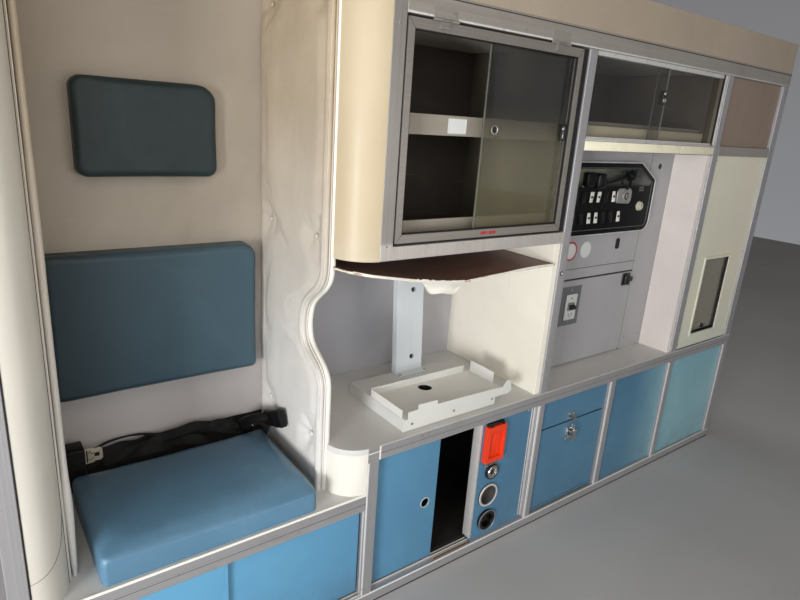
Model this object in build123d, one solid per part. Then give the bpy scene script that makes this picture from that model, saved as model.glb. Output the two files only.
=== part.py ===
from build123d import *
import os
import math

# Interior side-wall cabinet unit of an ambulance with an attendant-seat alcove.
# Working coordinates, mm: X runs along the wall to the right, Y runs into the wall from the
# flush front faces, Z is up from the floor. Every piece is shifted at export so that the
# origin is the bottom centre of the whole unit.

# ---- driving dimensions -------------------------------------------------
X_LEFT, X_RIGHT = -8.0, 3031.0        # outer ends of the unit
HEIGHT = 1898.0                       # to the top of the header panel
Y_WALL = 492.0                        # front face of the back panel
T_BACK = 12.0                         # back panel thickness
Y_PROUD = -20.0                       # foremost point, the lever of the draw latch
POST = 38.0                           # depth of the aluminium posts and rails
BOARD = 18.0                          # board thickness
SKIN = 4.0                            # sheet panel thickness

BASE_TOP = 42.0                       # top of the base rail
SEAT_LIP = (358.0, 414.0)             # seat edge rail, bottom and top
LIP = (519.0, 567.0)                  # counter edge rail, bottom and top
OVER_BOTTOM = 1121.0                  # underside of the overhead cabinet
OVER_RAIL_TOP = 1159.0
SILL = (1421.0, 1459.0)               # sill of the second overhead bay
HEAD = (1725.0, 1779.0)               # header strip

# post faces along X
POST_A = (882.0, 922.0)
POST_B = (1622.0, 1660.0)
POST_C = (2057.0, 2099.0)
POST_D = (2490.0, 2531.0)
POST_E = (2981.0, 3031.0)
LEFT_POST = (-8.0, 32.0)

# partitions behind the posts
PART_A = (785.0, 803.0)               # between alcove and cabinets
PART_B = (1597.0, 1622.0)             # between main bay and second bay
PART_D = (2465.0, 2490.0)             # between second bay and end bay
BAY2_Y = 150.0                        # front face of the second bay's back

R_RIGHT = 100.0                       # quarter-round beside post A
R_LEFT = 77.0                         # quarter-round beside the left post
T_SHELL = 4.0

XC = (X_LEFT + X_RIGHT) / 2
YC = (Y_PROUD + Y_WALL + T_BACK) / 2
OUT = "parts"
os.makedirs(OUT, exist_ok=True)


def box(x0, x1, y0, y1, z0, z1):
    return Pos((x0 + x1) / 2, (y0 + y1) / 2, (z0 + z1) / 2) * Box(x1 - x0, y1 - y0, z1 - z0)


def rod(x, y, z, r, length, axis):
    """Cylinder centred on (x, y, z) along the named axis."""
    turn = {"x": Rot(0, 90, 0), "y": Rot(90, 0, 0), "z": Rot(0, 0, 0)}[axis]
    return Pos(x, y, z) * turn * Cylinder(r, length)


def prism_y(pts, y0, y1):
    """Polygon of (x, z) points extruded from y0 to y1."""
    face = make_face(Polyline(*[(x, y0, z) for x, z in pts], close=True))
    return extrude(face, amount=y1 - y0, dir=(0, 1, 0))


def prism_x(pts, x0, x1):
    """Polygon of (y, z) points extruded from x0 to x1."""
    face = make_face(Polyline(*[(x0, y, z) for y, z in pts], close=True))
    return extrude(face, amount=x1 - x0, dir=(1, 0, 0))


def save(name, *solids):
    flat = []
    for s in solids:
        flat.extend(s if isinstance(s, (list, tuple)) else [s])
    moved = [Pos(-XC, -YC, 0) * s for s in flat]
    one = moved[0] if len(moved) == 1 else Compound(children=moved)
    export_step(one, os.path.join(OUT, name + ".step"))


# ---- base, floor and posts ----------------------------------------------
save("base_rail", box(X_LEFT, X_RIGHT, 0, POST, 0, BASE_TOP))
save("lower_floor", box(X_LEFT, X_RIGHT, POST, Y_WALL, BASE_TOP, BASE_TOP + 12))
FLOOR_TOP = BASE_TOP + 12
save("back_panel", box(X_LEFT, X_RIGHT, Y_WALL, Y_WALL + T_BACK, 0, HEIGHT))

POSTS = (              # x0, x1, z0, z1
    (*LEFT_POST, BASE_TOP, HEIGHT),
    (*POST_A, BASE_TOP, LIP[0]), (*POST_B, BASE_TOP, LIP[0]), (*POST_C, BASE_TOP, LIP[0]),
    (*POST_D, BASE_TOP, LIP[0]), (*POST_E, BASE_TOP, LIP[0]),
    (*POST_B, LIP[1], HEAD[0]), (*POST_D, LIP[1], HEAD[0]), (*POST_E, LIP[1], HEAD[0]))
save("posts", [box(x0, x1, 0, POST, z0, z1) for x0, x1, z0, z1 in POSTS])
save("end_boards", [box(x, x + BOARD, POST, Y_WALL, FLOOR_TOP, HEIGHT) for x in (X_LEFT, X_RIGHT - BOARD)])

# edge rails: a square rail with a thin upstand that covers the board's edge
counter_edge = (box(POST_A[0], X_RIGHT, 0, POST, LIP[0], LIP[1] - BOARD)
     + box(POST_A[0], X_RIGHT, 0, 3, LIP[1] - BOARD, LIP[1]))
seat_edge = (box(LEFT_POST[1], POST_A[0], 0, POST, SEAT_LIP[0], SEAT_LIP[1] - BOARD)
     + box(LEFT_POST[1], POST_A[0], 0, 3, SEAT_LIP[1] - BOARD, SEAT_LIP[1]))
save("edge_rails", counter_edge, seat_edge)

# boards that stand behind the lower posts, and the partitions above the counter, which
# are cut back where a front rail passes
LOWER_DIVIDERS = ((893, 911), (1631, 1649), (2069, 2087), (2501, 2519))      # (x0, x1)
save("lower_dividers", [box(a, b, POST, Y_WALL, FLOOR_TOP, LIP[1] - BOARD) for a, b in LOWER_DIVIDERS])
save("partitions",
     box(*PART_B, 8, Y_WALL, LIP[1], HEAD[0]) - box(PART_B[0] - 1, PART_B[1] + 1, 0, POST, OVER_BOTTOM, OVER_RAIL_TOP),
     box(*PART_D, 8, Y_WALL, LIP[1], HEAD[0]) - box(PART_D[0] - 1, PART_D[1] + 1, 0, POST, *SILL))

# ---- quarter-round corners ----------------------------------------------
CX_R, CY_R = POST_A[0] + 8.0, R_RIGHT          # axis of the right quarter-round
CX_L, CY_L = LEFT_POST[1] + 3.0, R_LEFT        # axis of the left quarter-round


def corner_plan(r, z0, z1):
    """Quarter disc in front of the partition and beside post A."""
    disc = Pos(CX_R, CY_R, (z0 + z1) / 2) * Cylinder(r, z1 - z0)
    return disc & (box(CX_R - r - 1, PART_A[1], CY_R - r - 1, 90, z0, z1)
                   + box(PART_A[1], POST_A[0], CY_R - r - 1, CY_R, z0, z1))


def corner_board(r, x1, y_front, z0, z1):
    """Board with a quarter-round front left corner, from the alcove partition to x1."""
    return (corner_plan(r, z0, z1) + box(PART_A[1], POST_A[0], CY_R, Y_WALL, z0, z1)
            + box(POST_A[0], x1, y_front, Y_WALL, z0, z1))


def corner_shell(z0, z1):
    return corner_plan(R_RIGHT, z0, z1) - (Pos(CX_R, CY_R, (z0 + z1) / 2) * Cylinder(R_RIGHT - T_SHELL, z1 - z0 + 2))


zl = (SEAT_LIP[1] + HEIGHT) / 2
hl = HEIGHT - SEAT_LIP[1]
left_ring = Pos(CX_L, CY_L, zl) * Cylinder(R_LEFT, hl) - Pos(CX_L, CY_L, zl) * Cylinder(R_LEFT - T_SHELL, hl + 2)
left_column = left_ring & box(CX_L - 3, CX_L + R_LEFT + 1, -1, CY_L, SEAT_LIP[1], HEIGHT)
save("columns", left_column & box(LEFT_POST[1], 200, -1, CY_L, SEAT_LIP[1], HEIGHT),
     corner_shell(OVER_BOTTOM, HEIGHT), corner_shell(SEAT_LIP[1], LIP[1] - BOARD))

# ---- alcove: deck, side boards and pads ---------------------------------
save("seat_deck", box(X_LEFT + BOARD, POST_A[0], POST, Y_WALL, SEAT_LIP[1] - BOARD, SEAT_LIP[1])
     + box(LEFT_POST[1], POST_A[0], 3, POST, SEAT_LIP[1] - BOARD, SEAT_LIP[1]))

# front edge of the alcove partition: straight, curving back to form a hand opening, straight
EDGE_Y = 90.5
S_CURVE = (            # z, y of the front edge, read upward
    (740.0, 90.5), (756.0, 92.5), (774.0, 99.5), (792.0, 113.5), (808.0, 135.0), (826.0, 164.0), (846.0, 190.0),
    (874.0, 204.0), (906.0, 206.5), (938.0, 201.5), (966.0, 188.0), (988.0, 167.0), (1008.0, 141.5),
    (1030.0, 117.0), (1056.0, 99.0), (1080.0, 92.3), (1100.0, 90.5))


def side_profile(x0, x1, z0, z1, dy=0.0):
    low = Line((x0, Y_WALL, z0), (x0, EDGE_Y + dy, z0))
    rise = Line((x0, EDGE_Y + dy, z0), (x0, EDGE_Y + dy, 740.0))
    curve = Spline(*[(x0, y + dy, z) for z, y in S_CURVE], tangents=((0, 0, 1), (0, 0, 1)), tangent_scalars=(0.5, 0.5))
    rise2 = Line((x0, EDGE_Y + dy, 1100.0), (x0, EDGE_Y + dy, z1))
    top = Line((x0, EDGE_Y + dy, z1), (x0, Y_WALL, z1))
    back = Line((x0, Y_WALL, z1), (x0, Y_WALL, z0))
    return extrude(make_face([low, rise, curve, rise2, top, back]), amount=x1 - x0, dir=(1, 0, 0))


save("alcove_sides", side_profile(*PART_A, SEAT_LIP[1], HEIGHT), box(100, 118, 80, Y_WALL, SEAT_LIP[1], HEIGHT))
save("side_pads", side_profile(PART_A[0] - 22, PART_A[0], SEAT_LIP[1], HEIGHT, -4.0),
     box(118, 137, 82, Y_WALL, SEAT_LIP[1], HEIGHT))

save("seat_cushion", box(170, 725, 12, 392, SEAT_LIP[1], 500))
save("backrest", box(160, 715, 430, Y_WALL, 691, 1092))
save("headrest", box(262, 617, 447, Y_WALL, 1292, 1535))

# seat belt: left sleeve with tongue, webbing heaped behind the cushion, right buckle
save("belt_sleeve", box(160, 216, 420, 478, SEAT_LIP[1], 552))
save("belt_tongue", box(216, 262, 440, 443, 488, 536))
webbing_line = ((226, 470), (300, 500), (395, 516), (510, 522), (590, 518), (660, 500), (700, 470))   # x, z
upper = [(x, z + 3) for x, z in webbing_line]
save("belt_webbing", prism_y(list(webbing_line) + upper[::-1], 432, 478))
head = Pos(736, 318, 556) * Rot(0, 0, 10) * Rot(-19, 0, 0) * Box(22, 96, 54)
stalk = prism_x(((440, SEAT_LIP[1]), (400, SEAT_LIP[1]), (348, 530), (366, 548)), 736, 739)
save("belt_buckle", head + stalk)

# ---- seat base doors -----------------------------------------------------
# name, x0, x1, y of the front face
SEAT_DOORS = (("seat_door_left", 38.0, 463.0, 9.0), ("seat_door_right", 436.0, 876.0, 22.0))
for name, x0, x1, y in SEAT_DOORS:
    save(name, box(x0, x1, y, y + SKIN, 50, 353))
TRACK_RIBS = (3.5, 17.0, 30.5)                     # y of the three ribs of a double track
ribs = [box(LEFT_POST[1], POST_A[0], y, y + 1.5, BASE_TOP, BASE_TOP + 7) for y in TRACK_RIBS]
ribs += [box(POST_A[1], 1352, y, y + 1.5, BASE_TOP, BASE_TOP + 7) for y in (20.0, 30.5)]

# ---- counter --------------------------------------------------------------
counter = corner_board(R_RIGHT, PART_B[1], POST, LIP[1] - BOARD, LIP[1])
counter += box(POST_A[0], PART_D[1], 3, POST, LIP[1] - BOARD, LIP[1])
counter += box(PART_B[1], PART_D[1], POST, BAY2_Y + BOARD, LIP[1] - BOARD, LIP[1])
save("countertop", counter)

PLATE = (1025.0, 1413.0, 28.0, 338.0)
PLATE_TOP = 607.0
HOLE = (1229.0, 181.0, 25.0)                        # x, y, radius of the cable hole
save("tray_plate", box(*PLATE, LIP[1], PLATE_TOP) - rod(HOLE[0], HOLE[1], 587, HOLE[2], 50, "z"))

T_TRAY = 2.0
tray = box(1027, 1467, 26, 219, PLATE_TOP, PLATE_TOP + T_TRAY) - rod(HOLE[0], HOLE[1], 608, HOLE[2], 10, "z")
tray += box(1027, 1029, 42, 212, PLATE_TOP, 634)
tray += box(1031, 1438, 217, 219, PLATE_TOP, 634)
tray += box(1465, 1467, 92, 212, PLATE_TOP, 650)
FRONT_FLANGE = (       # x, z of the front flange with its raised tab and right ear
    (1027, 572), (1412, 572), (1412, 596), (1477, 596), (1490, 608), (1482, 640), (1464, 648), (1448, 626),
    (1404, 628), (1377, 629), (1153, 634), (1152, 648), (1076, 650), (1076, 634), (1038, 633), (1038, 607), (1027, 607))
tray += prism_y(FRONT_FLANGE, 24, 26)
tray += box(1027, 1467, 24, 27, PLATE_TOP, PLATE_TOP + T_TRAY)
save("equipment_tray", tray)

# upright sheet-metal channel with two holes and a foot, leaning slightly back
UP_W, UP_D, UP_H = 115.0, 26.0, 372.0
channel = box(0, UP_W, 0, 2, 0, UP_H) + box(0, 2, 0, UP_D, 0, UP_H) + box(UP_W - 2, UP_W, 0, UP_D, 0, UP_H)
for z in (52.0, 300.0):
    channel -= rod(68, 0, z, 7, 12, "y")
channel = Pos(1208, 322, PLATE_TOP + 2) * Rot(-4, 0, 0) * channel
foot = box(1200, 1330, 288, 338, PLATE_TOP, PLATE_TOP + 2.5)
save("upright_bracket", channel + foot)

# ---- overhead cabinet ------------------------------------------------------
save("overhead_frame", box(POST_A[0], POST_A[1], 0, POST, OVER_BOTTOM, HEIGHT)
     + box(POST_A[1], POST_B[0], 0, POST, OVER_BOTTOM, OVER_RAIL_TOP))
save("front_rails", box(POST_A[1], X_RIGHT, 0, POST, *HEAD), box(POST_B[1], POST_D[0], 0, POST, *SILL),
     box(POST_D[1], POST_E[0], 0, POST, *SILL))
save("header_panel", box(POST_A[1], X_RIGHT, 2, 2 + BOARD, HEAD[1], HEIGHT))

save("overhead_boards",
     corner_board(R_RIGHT - T_SHELL, PART_B[0], POST, OVER_BOTTOM, OVER_BOTTOM + BOARD),
     box(PART_B[1], PART_D[0], POST, Y_WALL, SILL[0], SILL[0] + BOARD),
     box(PART_A[1], POST_A[0], CY_R, Y_WALL, HEAD[0], HEAD[0] + BOARD)
     + box(POST_A[0], X_RIGHT - BOARD, POST, Y_WALL, HEAD[0], HEAD[0] + BOARD))
# shelf with its front lip, and the guard lips on the floors of both cabinets
save("overhead_shelf", box(PART_A[1], PART_B[0], 78, Y_WALL, 1482, 1500) + box(PART_A[1], PART_B[0], 60, 78, 1446, 1500),
     box(PART_A[1], PART_B[0], 60, 66, OVER_BOTTOM + BOARD, 1215), box(PART_B[1], PART_D[0], 60, 66, SILL[0] + BOARD, 1516))

# lifting inner frame of the main overhead bay, hinged along its top edge
LF = (927.0, 1592.0, 1166.0, 1719.0)                # outer x0, x1, z0, z1
LF_IN = (947.0, 1572.0, 1189.0, 1694.0)
LF_Y = (0.0, 30.0)
lift = box(LF[0], LF[1], *LF_Y, LF[2], LF[3]) - box(LF_IN[0], LF_IN[1], -1, 31, LF_IN[2], LF_IN[3])
for y0 in (8.0, 19.0):                              # two slots for the sliders
    lift -= box(LF_IN[0] - 8, LF_IN[1] + 8, y0, y0 + 6, LF_IN[2] - 8, LF_IN[3] + 12)
# hinge: pin and outer knuckles on the header, middle knuckle on the frame
HINGE_Y, HINGE_Z, HINGE_R, PIN_R = -4.0, 1722.0, 4.0, 2.0
HINGE_X = (1040.0, 1480.0)
fixed_hinge, lift_knuckles = [], []
for hx in HINGE_X:
    leaf = box(hx - 40, hx + 40, -1.5, 0, HINGE_Z + 5, HINGE_Z + 32)
    for s in (-1, 1):
        leaf += rod(hx + s * 28, HINGE_Y, HINGE_Z, HINGE_R, 24, "x")
        leaf += box(hx + s * 28 - 12, hx + s * 28 + 12, -2.5, 0, HINGE_Z + 2, HINGE_Z + 8)
    leaf += rod(hx, HINGE_Y, HINGE_Z, PIN_R, 70, "x")
    fixed_hinge.append(leaf)
    knuckle = rod(hx, HINGE_Y, HINGE_Z, HINGE_R, 30, "x") + box(hx - 15, hx + 15, -4, 0, HINGE_Z - 20, HINGE_Z - 2)
    lift_knuckles.append(knuckle - rod(hx, HINGE_Y, HINGE_Z, PIN_R + 0.05, 40, "x"))
save("lift_hinge_leaves", fixed_hinge)
for k in lift_knuckles:
    lift += k
save("lift_frame", lift)

# tinted sliders and their push latches
save("slider_left", box(1212, 1562, 9.0, 13.0, LF_IN[2] - 6, LF_IN[3] + 6))
save("slider_right", box(1226, 1576, 20.0, 24.0, LF_IN[2] - 6, LF_IN[3] + 6))
save("slider_latch", box(1537, 1558, 1, 9, 1454, 1500))

# second bay sliders in a double track
BAY2_TRACK_Y = (5.5, 16.5, 27.5)
for y in BAY2_TRACK_Y:
    ribs.append(box(POST_B[1], PART_D[0], y, y + 1.5, SILL[1], SILL[1] + 8))
    ribs.append(box(POST_B[1], PART_D[0], y, y + 1.5, HEAD[0] - 14, HEAD[0]))
save("slider_tracks", ribs)
save("bay_slider_left", box(1662, 2090, 9.0, 13.0, SILL[1] + 2, HEAD[0] - 6))
save("bay_slider_latch", box(2064, 2086, 1, 9, 1592, 1636))
save("bay_slider_right", box(2036, 2462, 20.0, 24.0, SILL[1] + 2, HEAD[0] - 6))

# ---- sagging liner panel under the overhead cabinet ------------------------
SAG = ((780.0, 1099.0), (890.0, 1081.5), (1000.0, 1061.0), (1100.0, 1046.5), (1200.0, 1038.5),
       (1400.0, 1049.0), (1600.0, 1052.5))          # x, z of the top face
T_LINER = 6.0


def sag_edge(dz):
    p = [(x, 0, z + dz) for x, z in SAG]
    return [ThreePointArc(p[0], p[1], p[2]), ThreePointArc(p[2], p[3], p[4]), ThreePointArc(p[4], p[5], p[6])]


sheet = extrude(make_face(sag_edge(0) + [Line((1600, 0, 1052.5), (1600, 0, 1052.5 - T_LINER))] + sag_edge(-T_LINER)
                          + [Line((780, 0, 1099), (780, 0, 1099 - T_LINER))]), amount=430, dir=(0, 1, 0))
plan = corner_board(R_RIGHT, PART_B[0], 0, 1000, 1120)
save("liner_panel", sheet & plan)

# ---- second bay: grey panels, control panel, outlet ------------------------
save("bay_back_board", box(PART_B[1], PART_D[0], BAY2_Y, BAY2_Y + BOARD, LIP[1], SILL[0]))
save("access_panels", box(1640, 2302, BAY2_Y - 4, BAY2_Y, 931, 969.5), box(1640, 2302, BAY2_Y - 4, BAY2_Y, 971.5, SILL[0]), box(2306, PART_D[0], BAY2_Y - 4, BAY2_Y, LIP[1], SILL[0]))
CP = (1674.0, 2317.0, 1105.0, 1378.0)               # control panel x0, x1, z0, z1
CHAMFER_X, CHAMFER_Z = 112.0, 66.0
control = prism_y(((CP[0], CP[2]), (CP[1], CP[2]), (CP[1], CP[3] - CHAMFER_Z), (CP[1] - CHAMFER_X, CP[3]),
                   (CP[0] + CHAMFER_X, CP[3]), (CP[0], CP[3] - CHAMFER_Z)), BAY2_Y - 26, BAY2_Y - 4)
low_edges = control.edges().filter_by(Axis.Y).filter_by(lambda e: e.center().Z < CP[2] + 1)
save("control_panel", fillet(low_edges, 44))

# hinged lower access door of the second bay
DOOR2 = (1668.0, 2297.0, 575.0, 925.0)
DOOR2_HINGE = (1668.0, 140.0)                       # x, y of the hinge axis
save("access_door", box(DOOR2[0], DOOR2[1], BAY2_Y - 8, BAY2_Y - 5, DOOR2[2], DOOR2[3])
     + rod(DOOR2_HINGE[0], DOOR2_HINGE[1], (DOOR2[2] + DOOR2[3]) / 2, 4, DOOR2[3] - DOOR2[2], "z"))
save("outlet", box(1843, 1962, BAY2_Y - 11, BAY2_Y - 8, 743, 902) + box(1869, 1935, BAY2_Y - 16, BAY2_Y - 11, 768, 872))
save("access_latch", box(2224, 2290, BAY2_Y - 32, BAY2_Y - 8, 872, 918))

# ---- lower bays --------------------------------------------------------------
# sliding door of the main lower bay, with a finger hole, in the rear track
SLIDE_DOOR = (927.0, 1181.0, 24.0)
FINGER = (1136.0, 278.0, 16.0)
save("sliding_door", box(SLIDE_DOOR[0], SLIDE_DOOR[1], SLIDE_DOOR[2], SLIDE_DOOR[2] + SKIN, 51, 512)
     - rod(FINGER[0], SLIDE_DOOR[2], FINGER[1], FINGER[2], 40, "y"))

SOCKET_Y = 15.0
PORTS = (            # name, x, z, outer radius, inner radius, proud, depth behind the panel
    ("small_socket", 1427.0, 308.0, 27.0, 11.0, 10.0, 20.0),
    ("ring_port", 1424.0, 211.0, 46.0, 37.0, 6.0, 24.0),
    ("dark_port", 1427.0, 107.0, 40.0, 26.0, 10.0, 24.0))
socket_panel = box(1352, 1606, SOCKET_Y, SOCKET_Y + SKIN, BASE_TOP, LIP[0]) + box(1352, 1354, SOCKET_Y, 46, FLOOR_TOP, LIP[0])
for name, x, z, ro, ri, proud, deep in PORTS:
    socket_panel -= rod(x, SOCKET_Y, z, ri + 2, 60, "y")
socket_panel += box(1606, POST_B[0], SOCKET_Y, POST, BASE_TOP, LIP[0])
save("socket_panel", socket_panel)
for name, x, z, ro, ri, proud, deep in PORTS:
    flange = rod(x, SOCKET_Y - proud / 2, z, ro, proud, "y")
    barrel = rod(x, SOCKET_Y + deep / 2, z, ri + 1.9, deep, "y")
    port = flange + barrel - rod(x, SOCKET_Y, z, ri, 100, "y")
    save(name, port)
handle = box(1372, 1460, SOCKET_Y - 20, SOCKET_Y, 358, 498) - box(1382, 1450, SOCKET_Y - 21, SOCKET_Y - 12, 376, 474)
save("orange_handle", handle)

# drop door of the second lower bay, hinged along its bottom edge
DROP = (1666.0, 2051.0, 52.0, 396.0)
DROP_Y = 12.0
DROP_AXIS = (10.5, 52.0)                            # y, z of the hinge axis
save("drop_door", box(DROP[0], DROP[1], DROP_Y, DROP_Y + SKIN, DROP[2], DROP[3])
     + rod((DROP[0] + DROP[1]) / 2, DROP_AXIS[0], DROP_AXIS[1], 3.5, DROP[1] - DROP[0], "x"))
latch = box(1822, 1868, 4, DROP_Y, 318, 372) + box(1830, 1860, -8, 4, 322, 368)
latch += prism_x(((-8, 316), (-12, 314), (Y_PROUD, 366), (Y_PROUD + 5, 372), (-8, 372)), 1833, 1857)
latch += box(1838, 1842, -6, -2, 366, 391) + box(1848, 1852, -6, -2, 366, 391) + box(1838, 1852, -6, -2, 387, 391)
save("draw_latch", latch)
save("latch_keeper", box(1825, 1865, 6, DROP_Y, 403, 437) + box(1834, 1856, -8, 6, 408, 414))

# fixed sheet panels of the lower bays
FIXED_LOWER = (      # x0, x1, y, z0
    (1660.0, 2057.0, 12.0, 402.0), (2099.0, 2490.0, 11.0, BASE_TOP), (2531.0, 2981.0, 10.0, BASE_TOP))
save("lower_panels", [box(x0, x1, y, y + SKIN, z0, LIP[0]) for x0, x1, y, z0 in FIXED_LOWER])

# ---- end bay ------------------------------------------------------------------
FLAP_OPEN = (2641.0, 2851.0, 628.0, 975.0)
W = 12.0                                            # width of the pressed rim
rim = box(FLAP_OPEN[0] - W, FLAP_OPEN[1] + W, 5, 9, FLAP_OPEN[2] - W, FLAP_OPEN[3] + W)
save("end_panel", box(POST_D[1], POST_E[0], 9, 13, LIP[1], SILL[0]) + rim
     - box(FLAP_OPEN[0], FLAP_OPEN[1], 0, 30, FLAP_OPEN[2], FLAP_OPEN[3]))
FLAP = (2647.0, 2845.0, 634.0, 968.0)
FLAP_AXIS = (22.0, 970.0)                           # y, z of the hinge axis
save("flap", box(FLAP[0], FLAP[1], 24, 27, FLAP[2], FLAP[3])
     + rod((FLAP[0] + FLAP[1]) / 2, FLAP_AXIS[0], FLAP_AXIS[1], 3, FLAP[1] - FLAP[0], "x"))
save("flap_knob", rod(2753, 18, 650, 9, 12, "y"))
save("end_overhead_panel", box(POST_D[1], POST_E[0], 12, 16, SILL[1], HEAD[0]))
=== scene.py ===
import bpy
import bmesh
import math
from mathutils import Matrix, Vector, noise


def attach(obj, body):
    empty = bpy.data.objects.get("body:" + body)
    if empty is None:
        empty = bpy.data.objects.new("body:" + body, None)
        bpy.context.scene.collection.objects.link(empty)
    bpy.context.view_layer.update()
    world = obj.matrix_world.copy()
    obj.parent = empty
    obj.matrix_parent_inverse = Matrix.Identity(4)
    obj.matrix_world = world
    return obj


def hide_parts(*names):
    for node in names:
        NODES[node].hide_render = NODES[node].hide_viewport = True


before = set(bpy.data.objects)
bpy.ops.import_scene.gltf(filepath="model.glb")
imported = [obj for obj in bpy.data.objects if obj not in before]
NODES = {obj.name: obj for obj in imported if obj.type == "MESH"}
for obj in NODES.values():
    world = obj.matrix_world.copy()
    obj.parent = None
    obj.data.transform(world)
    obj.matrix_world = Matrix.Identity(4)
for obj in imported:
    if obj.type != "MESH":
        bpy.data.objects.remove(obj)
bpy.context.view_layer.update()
SCENE = bpy.context.scene
COLL = SCENE.collection


# ======================================================================
# wall millimetres to the row frame: x along the wall, y into it, z up
# ======================================================================
def P(x, y, z):
    return Vector(((x - 1511.5) / 1000.0, (y - 242.0) / 1000.0, z / 1000.0))


def srgb(r, g, b):
    def lin(c):
        c /= 255.0
        return c / 12.92 if c <= 0.04045 else ((c + 0.055) / 1.055) ** 2.4

    return (lin(r), lin(g), lin(b), 1.0)


def shade(c, k):
    return (min(c[0] * k, 1.0), min(c[1] * k, 1.0), min(c[2] * k, 1.0), 1.0)


# ======================================================================
# material trees
# ======================================================================
class Tree:
    def __init__(self, name):
        self.mat = bpy.data.materials.new(name)
        self.mat.use_nodes = True
        self.nt = self.mat.node_tree
        self.nt.nodes.clear()
        self.out = self.nt.nodes.new("ShaderNodeOutputMaterial")
        self.bsdf = self.nt.nodes.new("ShaderNodeBsdfPrincipled")
        self.link(self.bsdf.outputs[0], self.out.inputs[0])
        self._obj = None

    def link(self, a, b):
        self.nt.links.new(a, b)

    def put(self, socket, value):
        if isinstance(value, bpy.types.NodeSocket):
            self.link(value, socket)
        else:
            socket.default_value = value

    def obj(self):
        if self._obj is None:
            self._obj = self.nt.nodes.new("ShaderNodeTexCoord").outputs["Object"]
        return self._obj

    def mapped(self, scale=(1, 1, 1), rot=(0, 0, 0), loc=(0, 0, 0)):
        n = self.nt.nodes.new("ShaderNodeMapping")
        self.link(self.obj(), n.inputs["Vector"])
        n.inputs["Scale"].default_value = scale
        n.inputs["Rotation"].default_value = rot
        n.inputs["Location"].default_value = loc
        return n.outputs[0]

    def noise(self, scale, detail=3.0, rough=0.5, dist=0.0, vec=None):
        n = self.nt.nodes.new("ShaderNodeTexNoise")
        self.link(self.obj() if vec is None else vec, n.inputs["Vector"])
        n.inputs["Scale"].default_value = scale
        n.inputs["Detail"].default_value = detail
        n.inputs["Roughness"].default_value = rough
        n.inputs["Distortion"].default_value = dist
        return n.outputs["Fac"]

    def voronoi(self, scale, feature="F1", vec=None, rand=1.0):
        n = self.nt.nodes.new("ShaderNodeTexVoronoi")
        n.feature = feature
        self.link(self.obj() if vec is None else vec, n.inputs["Vector"])
        n.inputs["Scale"].default_value = scale
        n.inputs["Randomness"].default_value = rand
        return n.outputs["Distance"]

    def ranged(self, fac, a, b, lo=0.0, hi=1.0, smooth=True):
        n = self.nt.nodes.new("ShaderNodeMapRange")
        n.interpolation_type = "SMOOTHSTEP" if smooth else "LINEAR"
        n.clamp = True
        self.put(n.inputs["Value"], fac)
        n.inputs["From Min"].default_value = a
        n.inputs["From Max"].default_value = b
        n.inputs["To Min"].default_value = lo
        n.inputs["To Max"].default_value = hi
        return n.outputs[0]

    def math(self, op, a, b=0.0, clamp=False):
        n = self.nt.nodes.new("ShaderNodeMath")
        n.operation = op
        n.use_clamp = clamp
        self.put(n.inputs[0], a)
        self.put(n.inputs[1], b)
        return n.outputs[0]

    def mix(self, fac, a, b, kind="MIX"):
        n = self.nt.nodes.new("ShaderNodeMix")
        n.data_type = "RGBA"
        n.blend_type = kind
        self.put(n.inputs[0], fac)
        self.put(n.inputs[6], a)
        self.put(n.inputs[7], b)
        return n.outputs[2]

    def mixf(self, fac, a, b):
        n = self.nt.nodes.new("ShaderNodeMix")
        n.data_type = "FLOAT"
        self.put(n.inputs[0], fac)
        self.put(n.inputs[2], a)
        self.put(n.inputs[3], b)
        return n.outputs[0]

    def axes(self):
        n = self.nt.nodes.new("ShaderNodeSeparateXYZ")
        self.link(self.obj(), n.inputs[0])
        return n.outputs

    def normal_axes(self):
        g = self.nt.nodes.new("ShaderNodeNewGeometry")
        n = self.nt.nodes.new("ShaderNodeSeparateXYZ")
        self.link(g.outputs["Normal"], n.inputs[0])
        return n.outputs

    def bump(self, height, strength, dist, under=None):
        n = self.nt.nodes.new("ShaderNodeBump")
        n.inputs["Strength"].default_value = strength
        n.inputs["Distance"].default_value = dist
        self.put(n.inputs["Height"], height)
        if under is not None:
            self.link(under, n.inputs["Normal"])
        return n.outputs[0]

    def scratches(self, amount=0.5, size=1.0):
        """Thin lines in two directions as a mask."""
        a = self.noise(3.2 / size, 1.0, 0.4, 0.15, self.mapped((1.0, 60.0, 60.0), (0.3, 0.5, 0.7)))
        b = self.noise(2.6 / size, 1.0, 0.4, 0.15, self.mapped((70.0, 70.0, 1.0), (0.2, -0.6, 0.4), (3, 1, 7)))
        lo = 0.80 - 0.10 * amount
        return self.math("MAXIMUM", self.ranged(a, lo, lo + 0.03), self.ranged(b, lo, lo + 0.03))

    def finish(self, color, rough, normal=None, metal=0.0, spec=0.5, coat=0.0, coat_rough=0.1, sheen=0.0, ior=None):
        b = self.bsdf
        self.put(b.inputs["Base Color"], color)
        self.put(b.inputs["Roughness"], rough)
        if normal is not None:
            self.link(normal, b.inputs["Normal"])
        b.inputs["Metallic"].default_value = metal
        b.inputs["Specular IOR Level"].default_value = spec
        b.inputs["Coat Weight"].default_value = coat
        b.inputs["Coat Roughness"].default_value = coat_rough
        b.inputs["Sheen Weight"].default_value = sheen
        if ior is not None:
            b.inputs["IOR"].default_value = ior
        return self.mat


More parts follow.
